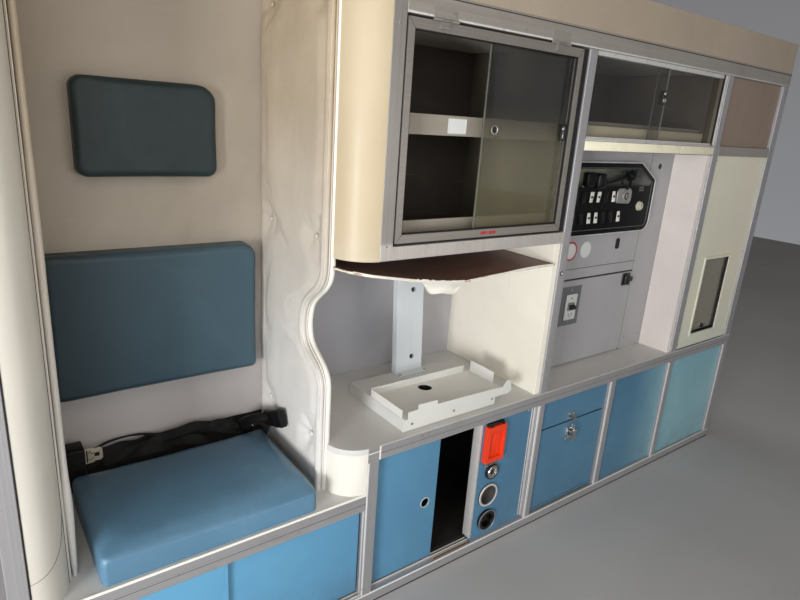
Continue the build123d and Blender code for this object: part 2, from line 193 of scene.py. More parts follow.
def coating(name, rgb, rough=0.42, var=0.05, smudge=0.5, scratch=0.3, grain=(420.0, 0.12), dirt=(120, 108, 92),
            grime=0.0, metal=0.0, spec=0.5, coat=0.0, tint=None):
    """Laminate, paint, powder coat or moulded plastic, with cloudy tone, smudges, fine scratches and grain."""
    t = Tree(name)
    base = srgb(*rgb)
    cloud = t.noise(2.3, 4.0, 0.6, 0.4)
    col = t.mix(t.ranged(cloud, 0.3, 0.7), shade(base, 1 - var), shade(base, 1 + var))
    if tint is not None:
        col = t.mix(t.ranged(t.noise(1.1, 2.0, 0.5, 0.8), 0.4, 0.75), col, srgb(*tint))
    spots = t.ranged(t.noise(9.0, 5.0, 0.65, 0.6), 0.56, 0.80)
    col = t.mix(t.math("MULTIPLY", spots, 0.22 * smudge), col, srgb(*dirt))
    lines = t.scratches(scratch)
    col = t.mix(t.math("MULTIPLY", lines, 0.30 * scratch), col, shade(base, 1.5))
    if grime > 0:
        z = t.axes()[2]
        low = t.math("MULTIPLY", t.ranged(z, 0.30, 0.0), t.ranged(t.noise(6.0, 4.0, 0.6, 0.3), 0.30, 0.75))
        col = t.mix(t.math("MULTIPLY", low, grime), col, srgb(*dirt))
    r = t.mixf(t.ranged(t.noise(14.0, 4.0, 0.6), 0.3, 0.7), max(rough - 0.07, 0.03), rough + 0.09)
    r = t.math("ADD", r, t.math("MULTIPLY", spots, 0.10 * smudge))
    nrm = t.bump(t.noise(grain[0], 2.0, 0.5), grain[1], 0.0006)
    nrm = t.bump(lines, 0.25 * scratch, 0.0003, nrm)
    nrm = t.bump(t.noise(5.0, 2.0, 0.5), 0.10, 0.004, nrm)
    return t.finish(col, r, nrm, metal, spec, coat)


def extrusion(name, rgb, along="x", rough=0.36, metal=0.75):
    """Anodised aluminium with die lines along its run, dull patches and nicks."""
    t = Tree(name)
    base = srgb(*rgb)
    scale = {"x": (1.2, 260.0, 260.0), "z": (260.0, 260.0, 1.2)}[along]
    lines = t.noise(1.6, 2.0, 0.6, 0.0, t.mapped(scale))
    col = t.mix(t.ranged(lines, 0.25, 0.75), shade(base, 0.90), shade(base, 1.08))
    dull = t.ranged(t.noise(5.0, 5.0, 0.65, 0.5), 0.48, 0.78)
    col = t.mix(t.math("MULTIPLY", dull, 0.28), col, srgb(128, 122, 114))
    nick = t.ranged(t.noise(55.0, 2.0, 0.5, 0.5), 0.70, 0.76)
    col = t.mix(t.math("MULTIPLY", nick, 0.35), col, srgb(88, 84, 80))
    sc = t.scratches(0.5)
    col = t.mix(t.math("MULTIPLY", sc, 0.25), col, shade(base, 1.4))
    r = t.mixf(lines, rough - 0.05, rough + 0.10)
    r = t.math("ADD", r, t.math("MULTIPLY", dull, 0.12))
    nrm = t.bump(lines, 0.10, 0.0004)
    nrm = t.bump(nick, 0.35, -0.0006, nrm)
    nrm = t.bump(sc, 0.15, 0.0003, nrm)
    return t.finish(col, r, nrm, metal, 0.5)


def vinyl(name, rgb, rough=0.42, grain=0.22, var=0.07, worn=None, coat=0.08, crease=0.16, dirt=(90, 88, 84), grime=0.25):
    """Upholstery vinyl: pebbled grain, soft creases, worn and soiled patches."""
    t = Tree(name)
    base = srgb(*rgb)
    cloud = t.noise(3.0, 4.0, 0.6, 0.6)
    col = t.mix(t.ranged(cloud, 0.28, 0.72), shade(base, 1 - var), shade(base, 1 + var))
    if worn is not None:
        col = t.mix(t.math("MULTIPLY", t.ranged(t.noise(4.2, 5.0, 0.7, 0.8), 0.52, 0.85), 0.6), col, srgb(*worn))
    soil = t.ranged(t.noise(16.0, 5.0, 0.7, 0.4), 0.60, 0.85)
    col = t.mix(t.math("MULTIPLY", soil, grime), col, srgb(*dirt))
    cell = t.voronoi(620.0, "DISTANCE_TO_EDGE")
    pebble = t.ranged(cell, 0.0, 0.35)
    # painted shade in the hollows of the pebble grain
    col = t.mix(t.math("MULTIPLY", t.math("SUBTRACT", 1.0, pebble), 0.16), col, shade(base, 0.55))
    fold = t.noise(11.0, 3.0, 0.55, 1.4, t.mapped((1.0, 1.0, 0.45)))
    fold = t.ranged(fold, 0.25, 0.75)
    r = t.mixf(t.ranged(t.noise(20.0, 4.0, 0.6), 0.3, 0.7), rough - 0.06, rough + 0.10)
    nrm = t.bump(pebble, grain, 0.0005)
    nrm = t.bump(fold, crease, 0.004, nrm)
    nrm = t.bump(t.noise(70.0, 3.0, 0.55, 0.6), 0.10, 0.0012, nrm)
    return t.finish(col, r, nrm, 0.0, 0.45, coat, 0.25)


def webbing(name, rgb):
    """Woven belt: ribs along the strap and a fine cross pick, slightly furred."""
    t = Tree(name)
    base = srgb(*rgb)
    w = t.nt.nodes.new("ShaderNodeTexWave")
    w.wave_type = "BANDS"
    w.bands_direction = "Z"
    w.inputs["Scale"].default_value = 95.0
    w.inputs["Distortion"].default_value = 0.6
    w.inputs["Detail"].default_value = 1.0
    t.link(t.obj(), w.inputs["Vector"])
    w2 = t.nt.nodes.new("ShaderNodeTexWave")
    w2.wave_type = "BANDS"
    w2.bands_direction = "X"
    w2.inputs["Scale"].default_value = 150.0
    w2.inputs["Distortion"].default_value = 0.8
    t.link(t.obj(), w2.inputs["Vector"])
    weave = t.math("MULTIPLY", w.outputs["Fac"], w2.outputs["Fac"])
    # painted shade and highlight: the weave darker in its hollows, lighter on its ribs
    col = t.mix(weave, shade(base, 0.6), shade(base, 1.6))
    col = t.mix(t.math("MULTIPLY", t.ranged(t.noise(40.0, 4.0, 0.6), 0.5, 0.8), 0.14), col, srgb(56, 54, 54))
    nrm = t.bump(weave, 0.5, 0.0006)
    nrm = t.bump(t.noise(30.0, 3.0, 0.5), 0.2, 0.003, nrm)
    return t.finish(col, t.mixf(weave, 0.75, 0.6), nrm, 0.0, 0.3, 0.0, 0.1, 0.06)


def metal(name, rgb, rough=0.18, var=0.06, met=1.0, stain=(70, 62, 52), stained=0.3):
    t = Tree(name)
    base = srgb(*rgb)
    col = t.mix(t.ranged(t.noise(30.0, 4.0, 0.6, 0.3), 0.3, 0.7), shade(base, 1 - var), shade(base, 1 + var))
    pit = t.ranged(t.noise(160.0, 4.0, 0.7, 0.3), 0.56, 0.74)
    col = t.mix(t.math("MULTIPLY", pit, stained), col, srgb(*stain))
    r = t.mixf(t.ranged(t.noise(45.0, 4.0, 0.6), 0.3, 0.7), rough, rough + 0.14)
    nrm = t.bump(pit, 0.2, -0.0003)
    nrm = t.bump(t.noise(240.0, 2.0, 0.5), 0.06, 0.0003, nrm)
    return t.finish(col, r, nrm, met, 0.5)


def acrylic(name, rgb, haze=0.03):
    """Tinted clear sheet with wiped smears and hairline scratches."""
    t = Tree(name)
    base = srgb(*rgb)
    smear = t.ranged(t.noise(4.0, 5.0, 0.65, 1.2, t.mapped((1.0, 1.0, 0.35))), 0.45, 0.8)
    col = t.mix(t.math("MULTIPLY", smear, 0.20), base, shade(base, 0.72))
    lines = t.scratches(0.7)
    r = t.mixf(t.math("MAXIMUM", t.math("MULTIPLY", smear, 0.5), lines), haze, haze + 0.16)
    nrm = t.bump(t.noise(2.5, 2.0, 0.4), 0.05, 0.004)
    nrm = t.bump(lines, 0.12, 0.0002, nrm)
    m = t.finish(col, r, nrm, 0.0, 0.5, 0.0, 0.1, 0.0, 1.42)
    t.bsdf.inputs["Transmission Weight"].default_value = 1.0
    return m


def cabinet_glass():
    """Smoked clear sheet of the sliders: a painted pale reflection low on the panes of the lifting frame, brownish over
    the second bay.
    """
    t = Tree("tinted_acrylic")
    ax = t.axes()
    smear = t.ranged(t.noise(4.0, 5.0, 0.65, 1.2, t.mapped((1.0, 1.0, 0.35))), 0.45, 0.8)
    base = t.mix(t.ranged(ax[0], 0.08, 0.14), srgb(28, 26, 22), srgb(46, 36, 28))
    # painted reflection: pale colour low on the panes of the lifting frame
    painted_reflection = t.math("MULTIPLY", t.ranged(ax[2], 1.56, 1.38), t.math("LESS_THAN", ax[0], 0.10))
    col = t.mix(t.math("MULTIPLY", painted_reflection, t.mixf(smear, 0.75, 1.0)), base, srgb(158, 152, 120))
    lines = t.scratches(0.7)
    r = t.mixf(t.math("MAXIMUM", t.math("MULTIPLY", smear, 0.5), lines), 0.02, 0.18)
    nrm = t.bump(t.noise(2.5, 2.0, 0.4), 0.05, 0.004)
    nrm = t.bump(lines, 0.12, 0.0002, nrm)
    m = t.finish(col, r, nrm, 0.0, 0.5, 0.0, 0.1, 0.0, 1.42)
    t.bsdf.inputs["Transmission Weight"].default_value = 0.5
    t.bsdf.inputs["Alpha"].default_value = 0.25
    t.bsdf.inputs["Specular IOR Level"].default_value = 0.26
    return m


def toned(m, axis, a, b, lo, hi):
    """Multiplies the base colour of m by a tone that runs from lo to hi between a and b along an axis."""
    nt = m.node_tree
    shader = next(n for n in nt.nodes if n.type == "BSDF_PRINCIPLED")
    old = shader.inputs["Base Color"].links[0].from_socket
    pos = nt.nodes.new("ShaderNodeTexCoord")
    ax = nt.nodes.new("ShaderNodeSeparateXYZ")
    nt.links.new(pos.outputs["Object"], ax.inputs[0])
    far = nt.nodes.new("ShaderNodeMapRange")
    far.interpolation_type = "SMOOTHSTEP"
    for k, v in (("From Min", a), ("From Max", b), ("To Min", lo), ("To Max", hi)):
        far.inputs[k].default_value = v
    nt.links.new(ax.outputs[axis], far.inputs["Value"])
    mul = nt.nodes.new("ShaderNodeMix")
    mul.data_type = "RGBA"
    mul.blend_type = "MULTIPLY"
    mul.inputs[0].default_value = 1.0
    nt.links.new(old, mul.inputs[6])
    nt.links.new(far.outputs[0], mul.inputs[7])
    nt.links.new(mul.outputs[2], shader.inputs["Base Color"])
    return m


# ---------------------------------------------------------------- the palette
ALU_X = extrusion("alu_rail", (176, 175, 177), "x", 0.40, 0.55)
ALU_Z = extrusion("alu_post", (176, 175, 178), "z", 0.40, 0.55)
ALU_UP_X = extrusion("alu_upper_rail", (168, 163, 156), "x", 0.40, 0.50)
# painted light: the upper posts are painted brighter below 1.16 m
ALU_UP_Z = toned(extrusion("alu_upper_post", (150, 146, 142), "z", 0.40, 0.50), 2, 1.160, 1.172, 1.75, 1.0)
ALU_LIFT_X = extrusion("alu_lift_frame", (142, 137, 131), "x", 0.38, 0.50)
ALU_LEAF = extrusion("alu_hinge_leaf", (158, 153, 146), "x", 0.44, 0.46)
ALU_INNER = extrusion("alu_jamb", (214, 213, 212), "z", 0.42, 0.40)
CREAM = coating("cream_laminate", (226, 222, 211), 0.34, 0.03, 0.25, 0.25, (300.0, 0.05), (150, 138, 118), spec=0.5, coat=0.12)
WHITE_BOARD = coating("white_board", (226, 221, 212), 0.46, 0.04, 0.35, 0.3, (380.0, 0.08), (150, 140, 122))
HEADER = coating("header_beige", (164, 151, 135), 0.55, 0.05, 0.4, 0.3, (260.0, 0.14), (120, 110, 98))
COUNTER = coating("counter_laminate", (206, 206, 204), 0.40, 0.04, 0.7, 0.7, (520.0, 0.10), (146, 138, 124), coat=0.06)
# painted shade: the shelf board is made darker to look shaded inside the locker
SHELF = coating("shelf_board", (146, 139, 128), 0.50, 0.05, 0.5, 0.4, (380.0, 0.10), (120, 112, 100))
GREY_PANEL = coating("grey_panel", (164, 163, 166), 0.46, 0.04, 0.5, 0.45, (360.0, 0.10), (120, 116, 112))
POWDER = coating("white_powder", (218, 218, 214), 0.36, 0.03, 0.4, 0.35, (640.0, 0.22), (150, 144, 132), coat=0.10)
BRACKET = coating("bracket_paint", (206, 212, 217), 0.40, 0.03, 0.4, 0.4, (600.0, 0.16), (130, 128, 124), coat=0.08)
BLACK = coating("black_plastic", (20, 20, 22), 0.42, 0.15, 0.3, 0.3, (900.0, 0.20), (70, 68, 66))
DEEP_BLACK = coating("deep_black_plastic", (8, 8, 10), 0.38, 0.12, 0.2, 0.2, (900.0, 0.20), (46, 44, 42), spec=0.24)
RUBBER = coating("black_rubber", (14, 14, 15), 0.62, 0.15, 0.4, 0.2, (700.0, 0.25), (60, 58, 56))
OUTLET = coating("outlet_grey", (104, 107, 110), 0.40, 0.05, 0.3, 0.3, (700.0, 0.14), (70, 68, 66))
OUTLET_PALE = coating("outlet_insert", (206, 210, 208), 0.36, 0.03, 0.3, 0.3, (700.0, 0.10), (120, 116, 110))
MAUVE = coating("end_mauve", (136, 119, 106), 0.50, 0.05, 0.4, 0.4, (320.0, 0.12), (110, 104, 98))
GREYGREEN = coating("end_grey_green", (222, 217, 198), 0.44, 0.05, 0.45, 0.25, (320.0, 0.10), (128, 126, 112), tint=(206, 210, 196))
SILL_BRIGHT = coating("bright_sill", (248, 243, 216), 0.30, 0.03, 0.5, 0.4, (420.0, 0.08), (170, 160, 130), coat=0.15)
PORT_GREY = coating("port_grey", (72, 65, 58), 0.5, 0.12, 0.9, 0.5, (300.0, 0.25), (50, 44, 40))
FLAP_GREY = coating("flap_grey", (146, 143, 132), 0.42, 0.06, 0.5, 0.5, (320.0, 0.10), (90, 86, 80), metal=0.3)
ORANGE = coating("orange_plastic", (236, 62, 20), 0.36, 0.05, 0.5, 0.5, (500.0, 0.12), (128, 34, 14), coat=0.15)
RED = coating("red_ink", (176, 44, 52), 0.5, 0.06, 0.5, 0.6, (500.0, 0.10), (200, 190, 186))
PALE = coating("pale_sticker", (214, 216, 216), 0.48, 0.03, 0.5, 0.5, (400.0, 0.08), (150, 150, 146))
WHITE_TRIM = coating("white_trim", (240, 237, 228), 0.32, 0.03, 0.5, 0.4, (500.0, 0.10), (150, 140, 124), coat=0.12)
GROOVE = coating("seam_dark", (44, 42, 42), 0.7, 0.1, 0.4, 0.1, (500.0, 0.2), (70, 66, 60))
STEEL = metal("steel", (188, 186, 180), 0.30, 0.06, 0.9)
BRASSY = metal("tongue_plate", (226, 218, 196), 0.34, 0.06, 0.55, (40, 34, 28), 0.75)
CHROME = metal("chrome", (214, 214, 212), 0.12, 0.05, 1.0)
ROCKER = coating("rocker_white", (224, 222, 214), 0.34, 0.03, 0.3, 0.3, (700.0, 0.08), (120, 112, 100), coat=0.1)
BEZEL = coating("selector_grey", (150, 150, 148), 0.34, 0.05, 0.3, 0.4, (700.0, 0.10), (90, 88, 84), metal=0.35)
KNOB = coating("knob_pale", (196, 194, 172), 0.38, 0.04, 0.4, 0.3, (600.0, 0.14), (120, 114, 96), coat=0.1)
# painted light and shade: seat vinyl brighter at the front, darker towards the back
SEAT_BLUE = toned(vinyl("seat_vinyl", (86, 125, 152), 0.38, 0.22, 0.07, (112, 152, 178), 0.14, 0.12, (56, 72, 82), 0.25), 1, -0.20, 0.13, 1.14, 0.54)
# painted shade: the backrest vinyl is darker towards its left end
BACK_BLUE = toned(vinyl("back_vinyl", (66, 92, 106), 0.42, 0.24, 0.07, (78, 106, 120), 0.06, 0.12, (40, 52, 58), 0.25), 0, -1.36, -0.95, 0.40, 0.96)
HEAD_TEAL = vinyl("head_vinyl", (32, 48, 51), 0.46, 0.26, 0.07, (56, 74, 78), 0.04, 0.18, (32, 42, 44), 0.25)
BELT = webbing("belt_webbing", (7, 7, 8))
GLASS = cabinet_glass()
BAG = acrylic("clear_cover", (236, 236, 228), 0.12)


def column_cover():
    """Cream cover of the rounded columns: painted warm shade, darker and yellower towards the top, on the right-hand
    one, and painted shade, a darker white, on the left-hand one.
    """
    t = Tree("column_cover")
    ax = t.axes()
    cloud = t.ranged(t.noise(1.8, 4.0, 0.6, 0.5), 0.3, 0.7)
    white = t.mix(cloud, srgb(224, 221, 212), srgb(232, 229, 221))
    cream = t.mix(cloud, srgb(189, 173, 144), srgb(199, 184, 155))
    # painted warm shade towards the top of the right-hand column
    painted_warm_shade = t.math("MULTIPLY", t.ranged(ax[2], 0.75, 1.25), t.math("GREATER_THAN", ax[0], -0.9))
    # painted shade: the left-hand column gets a darker white
    left = t.math("LESS_THAN", ax[0], -0.9)
    col = t.mix(painted_warm_shade, t.mix(left, white, t.mix(cloud, srgb(204, 200, 190), srgb(212, 208, 198))), cream)
    spots = t.ranged(t.noise(9.0, 5.0, 0.65, 0.6), 0.56, 0.80)
    col = t.mix(t.math("MULTIPLY", spots, 0.10), col, srgb(150, 138, 118))
    lines = t.scratches(0.2)
    col = t.mix(t.math("MULTIPLY", lines, 0.08), col, srgb(160, 150, 134))
    nrm = t.bump(t.noise(300.0, 2.0, 0.5), 0.06, 0.0005)
    nrm = t.bump(t.noise(4.0, 2.0, 0.5), 0.10, 0.004, nrm)
    return t.finish(col, t.mixf(cloud, 0.44, 0.56), nrm, coat=0.03)


def side_cover():
    """Off-white padded vinyl with painted light and shade: cool and pale low down, warmer and darker towards the
    ceiling.
    """
    t = Tree("side_cover")
    ax = t.axes()
    cloud = t.ranged(t.noise(3.0, 4.0, 0.6, 0.6), 0.28, 0.72)
    low = t.mix(cloud, srgb(218, 217, 214), srgb(229, 227, 224))
    top = t.mix(cloud, srgb(174, 157, 133), srgb(188, 172, 148))
    # painted light and shade: warm and darker at the top, cool and pale low down
    col = t.mix(t.ranged(ax[2], 0.50, 1.75), low, top)
    soil = t.ranged(t.noise(16.0, 5.0, 0.7, 0.4), 0.60, 0.85)
    col = t.mix(t.math("MULTIPLY", soil, 0.18), col, srgb(150, 138, 118))
    cell = t.ranged(t.voronoi(620.0, "DISTANCE_TO_EDGE"), 0.0, 0.35)
    # painted shade in the hollows of the pebble grain
    col = t.mix(t.math("MULTIPLY", t.math("SUBTRACT", 1.0, cell), 0.08), col, srgb(130, 120, 106))
    fold = t.ranged(t.noise(9.0, 3.0, 0.55, 1.4, t.mapped((1.0, 1.0, 0.40))), 0.25, 0.75)
    nrm = t.bump(cell, 0.16, 0.0005)
    nrm = t.bump(fold, 0.22, 0.004, nrm)
    nrm = t.bump(t.noise(70.0, 3.0, 0.55, 0.6), 0.10, 0.0012, nrm)
    r = t.mixf(t.ranged(t.noise(20.0, 4.0, 0.6), 0.3, 0.7), 0.34, 0.50)
    return t.finish(col, r, nrm, 0.0, 0.45, 0.10, 0.25)


def blue_laminate():
    """Blue laminate with painted light and shade: bright blue at the left, darker towards the middle, blue-green light
    at the end bay; scuffed near the floor.
    """
    t = Tree("blue_laminate")
    x, y, z = t.axes()[0], t.axes()[1], t.axes()[2]
    cloud = t.ranged(t.noise(2.0, 4.0, 0.6, 0.5), 0.3, 0.7)
    blue = t.mix(cloud, srgb(92, 152, 190), srgb(100, 164, 202))
    painted_shade_blue = t.mix(cloud, srgb(70, 112, 142), srgb(78, 124, 152))
    painted_light_teal = t.mix(cloud, srgb(118, 164, 180), srgb(140, 182, 192))
    # painted light and shade along the row: darker towards the middle, blue-green light at the end bay
    col = t.mix(t.ranged(x, -1.25, 0.30), blue, painted_shade_blue)
    col = t.mix(t.ranged(x, 0.72, 1.10), col, painted_light_teal)
    spots = t.ranged(t.noise(8.0, 5.0, 0.65, 0.8), 0.55, 0.82)
    col = t.mix(t.math("MULTIPLY", spots, 0.16), col, srgb(120, 140, 150))
    lines = t.scratches(0.2)
    col = t.mix(t.math("MULTIPLY", lines, 0.14), col, srgb(150, 176, 192))
    low = t.math("MULTIPLY", t.ranged(z, 0.24, 0.02), t.ranged(t.noise(7.0, 5.0, 0.65, 0.4), 0.35, 0.75))
    col = t.mix(t.math("MULTIPLY", low, 0.35), col, srgb(78, 84, 86))
    r = t.mixf(t.ranged(t.noise(12.0, 4.0, 0.6), 0.3, 0.7), 0.34, 0.50)
    r = t.math("ADD", r, t.math("MULTIPLY", spots, 0.10))
    nrm = t.bump(t.noise(360.0, 2.0, 0.5), 0.10, 0.0005)
    nrm = t.bump(lines, 0.08, 0.0003, nrm)
    nrm = t.bump(t.noise(3.5, 2.0, 0.5), 0.10, 0.006, nrm)
    return t.finish(col, r, nrm, 0.0, 0.5, 0.06)


def ply_colour(t):
    """Unfinished plywood of the hidden outsides: pale veneer with a stretched grain."""
    grain = t.noise(5.0, 5.0, 0.62, 1.2, t.mapped((1.0, 1.0, 9.0)))
    fine = t.noise(30.0, 3.0, 0.6, 0.4, t.mapped((1.0, 1.0, 12.0)))
    col = t.mix(t.ranged(grain, 0.30, 0.70), srgb(176, 152, 120), srgb(206, 186, 154))
    return t.mix(t.math("MULTIPLY", t.ranged(fine, 0.45, 0.75), 0.35), col, srgb(146, 120, 90))


def back_laminate():
    """Wall lining: beige in the alcove, warm at the top and greyer lower down as painted light, bluish white over the
    counter, with painted shade: dark in the closed lockers and black below 0.5 m.
    """
    t = Tree("back_laminate")
    ax = t.axes()
    x, z = ax[0], ax[2]
    cloud = t.ranged(t.noise(1.6, 4.0, 0.6, 0.8), 0.3, 0.7)
    beige = t.mix(cloud, srgb(166, 156, 143), srgb(180, 170, 156))
    # painted light: warm beige at the top, greyer lower down
    beige = t.mix(t.ranged(z, 1.25, 0.55), beige, srgb(186, 181, 180))
    white = t.mix(cloud, srgb(178, 178, 186), srgb(196, 195, 198))
    # painted shade: dark inside the lockers over the counter
    dark = t.mix(cloud, srgb(66, 60, 54), srgb(88, 80, 72))
    nn = t.normal_axes()
    # painted shade: black below 0.5 m
    black = t.mix(cloud, srgb(24, 23, 23), srgb(40, 37, 36))
    right = t.math("GREATER_THAN", x, -0.7175)
    up = t.math("GREATER_THAN", z, 1.128)
    lowz = t.math("LESS_THAN", z, 0.50)
    col = t.mix(right, beige, white)
    col = t.mix(t.math("MULTIPLY", right, up), col, dark)
    col = t.mix(lowz, col, black)
    col = t.mix(t.math("GREATER_THAN", z, 1.735), col, beige)
    col = t.mix(t.math("GREATER_THAN", nn[1], 0.5), col, ply_colour(t))
    spots = t.ranged(t.noise(7.0, 5.0, 0.65, 0.6), 0.56, 0.84)
    col = t.mix(t.math("MULTIPLY", spots, 0.10), col, srgb(120, 110, 98))
    lines = t.scratches(0.4)
    col = t.mix(t.math("MULTIPLY", lines, 0.08), col, srgb(210, 206, 200))
    nrm = t.bump(t.noise(300.0, 2.0, 0.5), 0.10, 0.0005)
    nrm = t.bump(t.noise(4.0, 2.0, 0.5), 0.12, 0.006, nrm)
    return t.finish(col, t.mixf(cloud, 0.50, 0.62), nrm)


def board_by_place():
    """White-faced board whose hidden locker sides, below 0.5 m, are painted black as shade."""
    t = Tree("board_by_place")
    x, z = t.axes()[0], t.axes()[2]
    nn = t.normal_axes()
    cloud = t.ranged(t.noise(2.2, 4.0, 0.6, 0.5), 0.3, 0.7)
    white = t.mix(cloud, srgb(216, 211, 204), srgb(230, 226, 219))
    black = t.mix(cloud, srgb(26, 25, 25), srgb(42, 39, 37))
    # painted shade: black below 0.5 m
    col = t.mix(t.math("LESS_THAN", z, 0.50), white, black)
    outer = t.math("MULTIPLY", t.math("GREATER_THAN", t.math("ABSOLUTE", nn[0]), 0.5), t.math("GREATER_THAN", t.math("ABSOLUTE", x), 1.5145))
    outer = t.math("MAXIMUM", outer, t.math("GREATER_THAN", nn[1], 0.9))
    col = t.mix(outer, col, ply_colour(t))
    spots = t.ranged(t.noise(9.0, 5.0, 0.65, 0.6), 0.56, 0.84)
    col = t.mix(t.math("MULTIPLY", spots, 0.12), col, srgb(128, 118, 104))
    lines = t.scratches(0.4)
    col = t.mix(t.math("MULTIPLY", lines, 0.10), col, srgb(236, 234, 230))
    nrm = t.bump(t.noise(380.0, 2.0, 0.5), 0.10, 0.0005)
    return t.finish(col, t.mixf(cloud, 0.44, 0.56), nrm)


def overhead_white():
    """Boards of the overhead lockers: pale outside and underneath, painted shade, dark, on the upward faces inside."""
    t = Tree("overhead_board")
    ax, nn = t.axes(), t.normal_axes()
    cloud = t.ranged(t.noise(2.2, 4.0, 0.6, 0.5), 0.3, 0.7)
    white = t.mix(cloud, srgb(206, 200, 190), srgb(222, 217, 208))
    dark = t.mix(cloud, srgb(84, 76, 68), srgb(108, 98, 88))
    # painted shade on the upward faces inside the lockers
    inside = t.math("MULTIPLY", t.math("GREATER_THAN", nn[2], 0.5), t.math("MULTIPLY", t.math("GREATER_THAN", ax[1], -0.19), t.math("LESS_THAN", ax[2], 1.715)))
    col = t.mix(inside, white, dark)
    spots = t.ranged(t.noise(9.0, 5.0, 0.65, 0.6), 0.56, 0.84)
    col = t.mix(t.math("MULTIPLY", spots, 0.12), col, srgb(128, 118, 104))
    nrm = t.bump(t.noise(380.0, 2.0, 0.5), 0.10, 0.0005)
    return t.finish(col, t.mixf(cloud, 0.46, 0.60), nrm)


def partition_mat():
    """Partition boards: white beside the counter, painted shade, dark, up in the lockers."""
    t = Tree("partition_board")
    ax = t.axes()
    z, x = ax[2], ax[0]
    cloud = t.ranged(t.noise(1.8, 4.0, 0.6, 0.5), 0.3, 0.7)
    white = t.mix(cloud, srgb(236, 231, 218), srgb(246, 242, 230))
    white = t.mix(t.math("GREATER_THAN", x, 0.6), white, t.mix(cloud, srgb(216, 208, 204), srgb(228, 220, 216)))
    dark = t.mix(cloud, srgb(92, 86, 74), srgb(112, 106, 92))
    # painted shade: dark up in the overhead lockers
    up = t.math("MULTIPLY", t.math("GREATER_THAN", z, 1.128), t.math("LESS_THAN", z, 1.735))
    bay2 = t.math("MULTIPLY", t.math("GREATER_THAN", x, 0.1), t.math("LESS_THAN", z, 1.44))
    col = t.mix(t.math("MULTIPLY", up, t.math("SUBTRACT", 1.0, bay2)), white, dark)
    spots = t.ranged(t.noise(6.0, 5.0, 0.65, 0.6), 0.56, 0.84)
    col = t.mix(t.math("MULTIPLY", spots, 0.12), col, srgb(150, 138, 120))
    lines = t.scratches(0.5)
    col = t.mix(t.math("MULTIPLY", lines, 0.14), col, srgb(168, 160, 150))
    nrm = t.bump(t.noise(380.0, 2.0, 0.5), 0.10, 0.0005)
    nrm = t.bump(t.noise(3.0, 2.0, 0.5), 0.08, 0.006, nrm)
    return t.finish(col, t.mixf(cloud, 0.40, 0.52), nrm, coat=0.05)


def liner_mat():
    """Hardboard liner: brown fibrous face up, pale face down, split cream edge."""
    t = Tree("brown_board")
    nn = t.normal_axes()
    fibre = t.noise(60.0, 4.0, 0.7, 0.8, t.mapped((0.4, 1.0, 1.0)))
    cloud = t.ranged(t.noise(3.0, 4.0, 0.6, 0.8), 0.3, 0.7)
    brown = t.mix(cloud, srgb(92, 62, 52), srgb(118, 82, 68))
    brown = t.mix(t.math("MULTIPLY", t.ranged(fibre, 0.5, 0.75), 0.35), brown, srgb(66, 44, 38))
    pale = t.mix(cloud, srgb(196, 188, 172), srgb(214, 207, 192))
    edge = t.mix(t.ranged(t.noise(38.0, 4.0, 0.7, 0.6, t.mapped((1.0, 1.0, 3.0))), 0.38, 0.62), srgb(150, 128, 106), srgb(226, 218, 202))
    col = t.mix(t.ranged(nn[2], 0.35, 0.6), edge, brown)
    col = t.mix(t.ranged(nn[2], -0.35, -0.6), col, pale)
    lines = t.scratches(0.8)
    col = t.mix(t.math("MULTIPLY", lines, 0.25), col, srgb(150, 124, 106))
    nrm = t.bump(fibre, 0.25, 0.0008)
    return t.finish(col, t.mixf(cloud, 0.42, 0.58), nrm)


def control_face():
    """Glossy black panel with smudges and scratches; the grey-green clear window at the top is drawn as its own piece.
    """
    t = Tree("control_black")
    z = t.axes()[2]
    cloud = t.ranged(t.noise(5.0, 4.0, 0.6, 0.5), 0.3, 0.7)
    black = t.mix(cloud, srgb(9, 10, 12), srgb(16, 17, 19))
    spots = t.ranged(t.noise(22.0, 5.0, 0.7, 0.6), 0.58, 0.80)
    col = t.mix(t.math("MULTIPLY", spots, 0.10), black, srgb(70, 70, 66))
    lines = t.scratches(0.8)
    col = t.mix(t.math("MULTIPLY", lines, 0.12), col, srgb(110, 110, 106))
    r = t.mixf(t.math("MAXIMUM", spots, lines), 0.34, 0.52)
    nrm = t.bump(t.noise(3.0, 2.0, 0.5), 0.05, 0.004)
    return t.finish(col, r, nrm, 0.0, 0.14)


def window_face():
    t = Tree("panel_window")
    ax = t.axes()
    cloud = t.ranged(t.noise(4.0, 4.0, 0.6, 0.8), 0.3, 0.7)
    green = t.mix(cloud, srgb(92, 94, 78), srgb(126, 126, 104))
    col = t.mix(t.ranged(ax[0], 0.30, 0.66), green, srgb(40, 44, 40))
    col = t.mix(t.ranged(ax[2], 1.285, 1.325), srgb(34, 36, 33), col)
    lines = t.scratches(0.8)
    col = t.mix(t.math("MULTIPLY", lines, 0.2), col, srgb(160, 160, 146))
    nrm = t.bump(t.noise(3.0, 2.0, 0.5), 0.05, 0.004)
    return t.finish(col, t.mixf(cloud, 0.14, 0.26), nrm, 0.0, 0.5, 0.2)


COLUMN = column_cover()
SIDE_VINYL = side_cover()
BLUE = blue_laminate()
BACKWALL = back_laminate()
BOARD = board_by_place()
OVERHEAD = overhead_white()
PARTITION = partition_mat()
LINER = liner_mat()
CONTROL = control_face()
WINDOW = window_face()

